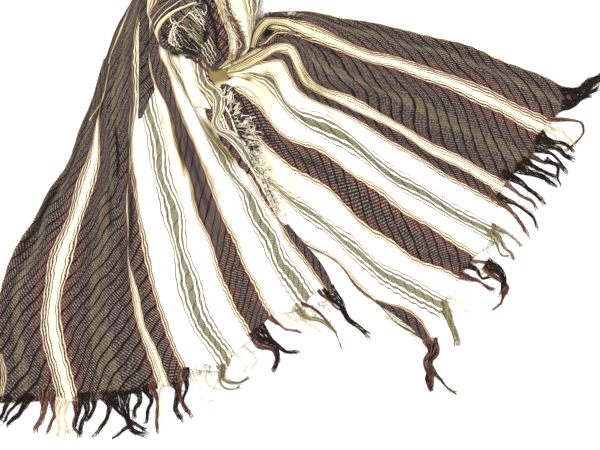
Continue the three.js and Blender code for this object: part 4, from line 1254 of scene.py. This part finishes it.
def make_end(stations, lines, ridges, swells, grooves, length, slant):
    along = np.linspace(0, 1, FAN_ALONG)
    across = np.linspace(0, CLOTH_WIDTH, FAN_ACROSS)
    x, y = fan_plan(stations, lines, along, across)
    u, share = np.meshgrid(across, along)
    v = share * length
    x, y = wander(x, y, ripples(u, v, **WANDER) * np.sin(math.pi * share) ** 0.5)
    z = underside(ridges, swells, u, share) + WALL / 2
    gathered = curve_through(GATHER_STATIONS, GATHER_STRENGTH, share.ravel()).reshape(u.shape)
    z = z + np.abs(ripples(u, v, **LONG_PUCKERS)) * gathered
    z = z + ripples(u, v, **FINE_PUCKERS) * gathered
    creases = crease_count(u, v, slant)
    z = z + crinkle(creases)
    # Painted shade in the hollows of this end and along its grooves
    z, painted_shade = carve(x, y, z, hollowness(z, END_HOLLOW_REACH), grooves)
    z = np.maximum(z, SHELL / 2 + FLOOR_GAP)
    cloth = Cloth(slant)
    cloth.add(x, y, z, u, v, painted_shade, creases)
    return cloth


def add_folds(cloth, folds, trees, slant):
    """Folds of the same cloth, laid over what is under them."""
    for fold in folds:
        lines = fold["lines"]
        rows = FOLD_STEPS * len(lines[0]["points"])
        columns = FOLD_COLUMNS
        paths = np.array([path_through(line["points"], rows) for line in lines])
        knots = [line["across"] for line in lines]
        order = np.argsort(knots)
        places = paths[order].transpose(0, 2, 1).reshape(len(knots), -1)
        u_line = np.linspace(min(knots), max(knots), columns)
        plan = curve_through(np.sort(knots), places, u_line).reshape(columns, 2, rows)
        x = plan[:, 0, :].T
        y = plan[:, 1, :].T
        u = np.broadcast_to(u_line, x.shape)
        run = np.linalg.norm(np.diff(paths[len(paths) // 2], axis=0), axis=1).sum()
        v = np.broadcast_to(np.linspace(FOLD_FROM, FOLD_FROM + run, rows)[:, None], x.shape)
        edge = np.abs(np.linspace(-1, 1, columns))
        arch = np.sqrt(np.clip(1 - edge ** FOLD_ROUNDNESS, 0, 1))
        ends = np.minimum(1, FOLD_END_RISE * np.sin(math.pi * np.linspace(*FOLD_ENDS, rows)))
        ground = smoothed(surface_under(trees, x, y), 2)
        creases = crease_count(u, v, slant)
        lift = fold["crown"] * arch * ends[:, None]
        z = ground + SHELL / 2 + FOLD_GAP + lift + crinkle(creases) * arch
        # Painted shade over the fold, more towards its edges, fading out near its end
        kept = 1 - smooth_step(np.linspace(0, 1, rows), FOLD_SHADE_KEPT, 1)
        painted_shade = np.clip((fold["shade"] + FOLD_EDGE_SHADE * (1 - arch)) * kept[:, None], 0, 1)
        cloth.add(x, y, z, u, v, painted_shade, creases)


def rolled(turn):
    """Sideways share, -1 to 1, and height share, 0 to 1, round the top of a roll of cloth."""
    sideways = np.sign(np.cos(turn)) * np.abs(np.cos(turn)) ** SHOULDER_POWER
    return sideways, np.sin(turn) ** SHOULDER_POWER


def make_knot():
    keys = sorted(KNOT_SECTIONS, key=lambda row: row["y"])
    heights = [row["y"] for row in keys]
    y_line = np.linspace(heights[-1], heights[0], KNOT_ROWS)
    left, right, top = (np.interp(y_line, heights, [row[name] for row in keys])
                        for name in ("left", "right", "height"))
    sideways, lift = rolled(np.linspace(0, math.pi, KNOT_COLUMNS))
    x = (left + right)[:, None] / 2 + (right - left)[:, None] / 2 * sideways
    y = np.broadcast_to(y_line[:, None], x.shape)
    z = top[:, None] * (WIDEST_SHARE + (1 - WIDEST_SHARE) * lift)

    view_x = (x - VIEW_CORNER[0]) / VIEW_STEP
    view_y = (VIEW_CORNER[1] - y_line) / VIEW_STEP
    rows = [row["row"] for row in KNOT_STRIPES]
    columns = np.array([row["columns"] for row in KNOT_STRIPES], float)
    places = np.array([np.interp(view_y, rows, columns[:, k]) for k in range(columns.shape[1])]).T
    u = np.array([np.interp(view_x[k], places[k], KNOT_STRIPES_ACROSS) for k in range(len(y_line))])
    v = np.broadcast_to((heights[-1] - y_line)[:, None], x.shape)
    creases = crease_count(u, v, KNOT_CREASES)
    z = z + crinkle(creases) + ripples(x, y, **KNOT_PUCKERS)
    # Painted shade in the hollows of the knot and along its grooves
    z, painted_shade = carve(x, y, z, hollowness(z, KNOT_HOLLOW_REACH), KNOT_GROOVES)
    cloth = Cloth(KNOT_CREASES)
    cloth.add(x, y, np.maximum(z, ROLL_FLOOR_GAP), u, v, painted_shade, creases)
    return cloth


def make_loop():
    straight = LOOP_SEAM_Y - STRAND_FOOT[1]
    total = straight + math.pi * LOOP_RADIUS
    ways = np.linspace(0, total, LOOP_ROWS)
    sideways, lift = rolled(np.linspace(0, math.pi, LOOP_COLUMNS))
    x = np.zeros((LOOP_ROWS, LOOP_COLUMNS))
    y = np.zeros_like(x)
    z = np.zeros_like(x)
    for k, way in enumerate(ways):
        if way < straight:
            share = way / straight
            centre = np.array([STRAND_FOOT[0] + (LOOP_CENTRE_X - LOOP_RADIUS - STRAND_FOOT[0]) * share,
                               STRAND_FOOT[1] + way])
            side = np.array([1.0, 0.0])
            half = STRAND_HALF_WIDTH + (LOOP_HALF_WIDTH - STRAND_HALF_WIDTH) * share
            height = STRAND_HEIGHTS[0] + (STRAND_HEIGHTS[1] - STRAND_HEIGHTS[0]) * share
        else:
            turn = (way - straight) / LOOP_RADIUS
            out = np.array([-math.cos(turn), math.sin(turn)])
            centre = np.array([LOOP_CENTRE_X, LOOP_SEAM_Y]) + LOOP_RADIUS * out
            side = -out
            half = LOOP_HALF_WIDTH
            height = STRAND_HEIGHTS[1] + (LOOP_END_HEIGHT - STRAND_HEIGHTS[1]) * turn / math.pi
        x[k] = centre[0] + half * sideways * side[0]
        y[k] = centre[1] + half * sideways * side[1]
        z[k] = height * (WIDEST_SHARE + (1 - WIDEST_SHARE) * lift)
    q = 0.5 + sideways / 2
    v = np.broadcast_to(ways[:, None], x.shape)
    sway = sum(row["share"] * np.sin(v / row["length"] + row["shift"]) for row in PLEAT_SWAYS)
    place = np.clip(q + sway, 0, 1) * LOOP_PLEATS
    inside = place - np.floor(place)
    u = (np.floor(place) + PLEAT_SHOWN * smooth_step(inside, 0, 1)) * CLOTH_WIDTH / LOOP_PLEATS
    pleat = np.sin(math.pi * inside)
    z = z + PLEAT_RISE * (pleat ** PLEAT_POWER - 0.5) * np.clip(lift, 0, 1)
    creases = crease_count(u, v, LEFT_CREASES)
    z = z + crinkle(creases) * LOOP_CRINKLE
    # Painted shade in the troughs between the pleats
    painted_shade = np.clip(PLEAT_SHADE - PLEAT_SHADE_FALL * pleat, 0, PLEAT_SHADE)
    cloth = Cloth(LEFT_CREASES)
    cloth.add(x, y, np.maximum(z, ROLL_FLOOR_GAP), u, v, painted_shade, creases)
    return cloth


# Yarns

class Yarns:
    """Thin tapered yarns gathered into one mesh. Lengths in millimetres."""

    def __init__(self):
        self.points = []
        self.faces = []
        self.dyes = []

    def add(self, path, radius, dye, taper=YARN_TAPER):
        base = len(self.points)
        count = len(path)
        for k, point in enumerate(path):
            forward = path[min(k + 1, count - 1)] - path[max(k - 1, 0)]
            forward = forward / (np.linalg.norm(forward) + 1e-9)
            side = np.array([-forward[1], forward[0], 0.0])
            side = side / (np.linalg.norm(side) + 1e-9)
            up = np.cross(forward, side)
            size = radius * (1 - taper * k / (count - 1))
            for corner in range(YARN_SIDES):
                turn = 2 * math.pi * corner / YARN_SIDES
                self.points.append(point + size * (math.cos(turn) * side + math.sin(turn) * up))
                self.dyes.append(dye)
        for k in range(count - 1):
            for corner in range(YARN_SIDES):
                a = base + k * YARN_SIDES + corner
                b = base + k * YARN_SIDES + (corner + 1) % YARN_SIDES
                self.faces.append((a, b, b + YARN_SIDES, a + YARN_SIDES))
        end = base + (count - 1) * YARN_SIDES
        self.faces.append(tuple(base + corner for corner in reversed(range(YARN_SIDES))))
        self.faces.append(tuple(end + corner for corner in range(YARN_SIDES)))

    def piece(self, name, material):
        mesh = bpy.data.meshes.new(name)
        mesh.from_pydata((np.array(self.points) * MM).tolist(), [], self.faces)
        attribute = mesh.color_attributes.new("dye", "FLOAT_COLOR", "POINT")
        attribute.data.foreach_set("color", np.array([(*dye, 1) for dye in self.dyes], np.float32).ravel())
        return shown(name, mesh, material)


def dye_of(name):
    shades = THREAD_COLOURS[name]
    shade = linear(shades[rng.integers(len(shades))])
    return tuple(np.array(shade) * rng.uniform(*DYE_SPREAD))


def curl(start, heading, bend, count, step):
    """Places along a short thread that turns by bend on its way."""
    angles = heading + bend * np.linspace(0, 1, count)
    moves = np.column_stack([np.cos(angles), np.sin(angles)]) * step
    return start + np.cumsum(moves, axis=0)


def add_tassels(yarns, tassels):
    """Bundles of twisted yarn that lie on the floor and fray at their ends."""
    for tassel in tassels:
        width = tassel["width"]
        spine = path_through(tassel["points"], TASSEL_STEPS * len(tassel["points"]))
        back = spine[0] - spine[1]
        spine = np.vstack([spine[0] + TASSEL_TUCK * back / np.linalg.norm(back), spine])
        count = len(spine)
        share = np.linspace(0, 1, count)
        forward = np.gradient(spine, axis=0)
        side = np.column_stack([-forward[:, 1], forward[:, 0]])
        side = side / np.linalg.norm(side, axis=1)[:, None]
        reach = max(LEAST_REACH, TASSEL_REACH * width - YARN_RADIUS)
        sway = rng.uniform(*SWAY) * np.sin(share * rng.uniform(*SWAY_WAVES) + rng.uniform(*SHIFT))
        yarn_count = max(2, round(YARNS_PER_MM * width))
        for strand in range(yarn_count):
            seat = 2 * math.pi * strand / yarn_count
            turn = seat + rng.uniform(*TWIST) * share
            flare = 1 + HEM_FLARE * (1 - share) ** 4 - TIP_TAPER * share
            own = rng.uniform(*YARN_REACH) * reach * flare
            shift = own * np.cos(turn) + sway + WOBBLE * np.sin(share * rng.uniform(*WOBBLE_WAVES) + seat)
            shift = shift + rng.normal(0, TIP_SPREAD) * smooth_step(share, *TIP)
            roll = TASSEL_HEIGHT * width * (1 + ROUNDNESS * np.sin(turn)) / 2
            height = LOWEST_YARN + roll + HEM_LIFT * (1 - share) ** 4
            last = count - rng.integers(0, 6)
            path = np.column_stack([spine + shift[:, None] * side, height])[:last]
            radius = YARN_RADIUS * rng.uniform(*YARN_RADII)
            yarns.add(path, radius, dye_of(tassel["colour"]))
        for _ in range(round(FUZZ_PER_MM * width)):
            start = spine[rng.integers(count // 4, count)]
            heading = rng.uniform(0, 2 * math.pi)
            bend = rng.normal(0, FUZZ_BEND)
            points = curl(start, heading, bend, FUZZ_STEPS, rng.uniform(*FUZZ_STEP))
            path = np.column_stack([points, np.linspace(*FUZZ_HEIGHTS, FUZZ_STEPS)])
            yarns.add(path, FUZZ_RADIUS, dye_of(tassel["colour"]))


def lay(points, trees, above):
    """A path on the floor plan laid on the highest cloth under it."""
    heights = surface_under(trees, points[:, 0], points[:, 1])
    return np.column_stack([points, heights + above])


def add_cords(yarns, cords, trees):
    for cord in cords:
        spine = path_through(cord["points"], CORD_STEPS * len(cord["points"]))
        steps = np.arange(len(spine))
        for _ in range(cord["width"]):
            wobble = np.column_stack([np.sin(steps * CORD_WAVES[0] + rng.uniform(*SHIFT)),
                                      np.cos(steps * CORD_WAVES[1] + rng.uniform(*SHIFT))])
            wobble = wobble * CORD_WOBBLE * cord["width"]
            path = lay(spine + wobble, trees, CORD_LIFT)
            yarns.add(path, rng.uniform(*CORD_RADII), dye_of(cord["colour"]), taper=CORD_TAPER)


def add_hairs(yarns, hairs, trees):
    for hair in hairs:
        middle = path_through(hair["points"], HAIR_SEATS)
        for _ in range(hair["count"]):
            start = middle[rng.integers(len(middle))] + rng.normal(0, hair["spread"], 2)
            heading = math.radians(hair["heading"] + rng.normal(0, hair["scatter"]))
            bend = rng.normal(0, hair["scatter"] / HAIR_STIFFNESS)
            length = hair["length"] * rng.uniform(*HAIR_LENGTHS)
            points = curl(start, heading, bend, HAIR_STEPS, length / (HAIR_STEPS - 1))
            path = lay(points, trees, rng.uniform(*HAIR_LIFTS))
            yarns.add(path, hair["radius"] * rng.uniform(*HAIR_RADII), dye_of(hair["colour"]))


def dress(piece, node):
    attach(piece, "root")
    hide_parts(node)


make_camera()
make_studio()
twill = make_cloth_material()
yarn = make_yarn_material()

left_cloth = make_end(LEFT_STATIONS, LEFT_LINES, LEFT_RIDGES, LEFT_SWELLS, LEFT_GROOVES, LEFT_LENGTH,
                      LEFT_CREASES)
right_cloth = make_end(RIGHT_STATIONS, RIGHT_LINES, RIGHT_RIDGES, RIGHT_SWELLS, RIGHT_GROOVES,
                       RIGHT_LENGTH, RIGHT_CREASES)
knot_cloth = make_knot()
loop_cloth = make_loop()
add_folds(left_cloth, LEFT_FOLDS, [left_cloth.tree(), right_cloth.tree()], LEFT_CREASES)
add_folds(right_cloth, RIGHT_FOLDS, [right_cloth.tree()], RIGHT_CREASES)
add_folds(knot_cloth, KNOT_FOLDS, [knot_cloth.tree()], KNOT_CREASES)
trees = [cloth.tree() for cloth in (left_cloth, right_cloth, knot_cloth)]

left_yarns = Yarns()
add_tassels(left_yarns, LEFT_TASSELS)
right_yarns = Yarns()
add_tassels(right_yarns, RIGHT_TASSELS)
loose_threads = Yarns()
add_cords(loose_threads, LEFT_CORDS + KNOT_CORDS, trees)
add_hairs(loose_threads, LEFT_HAIRS + RIGHT_HAIRS + KNOT_HAIRS, trees)

left_end = left_cloth.piece("left_cloth", twill)
right_end = right_cloth.piece("right_cloth", twill)
knot = knot_cloth.piece("knot_cloth", twill)
loop = loop_cloth.piece("loop_cloth", twill)
left_fringe = left_yarns.piece("left_yarns", yarn)
right_fringe = right_yarns.piece("right_yarns", yarn)
frays = loose_threads.piece("frayed_threads", yarn)
dress(left_end, "left_end")
dress(right_end, "right_end")
dress(knot, "knot_wrap")
dress(loop, "neck_loop")
dress(left_fringe, "left_fringe")
dress(right_fringe, "right_fringe")
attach(frays, "root")
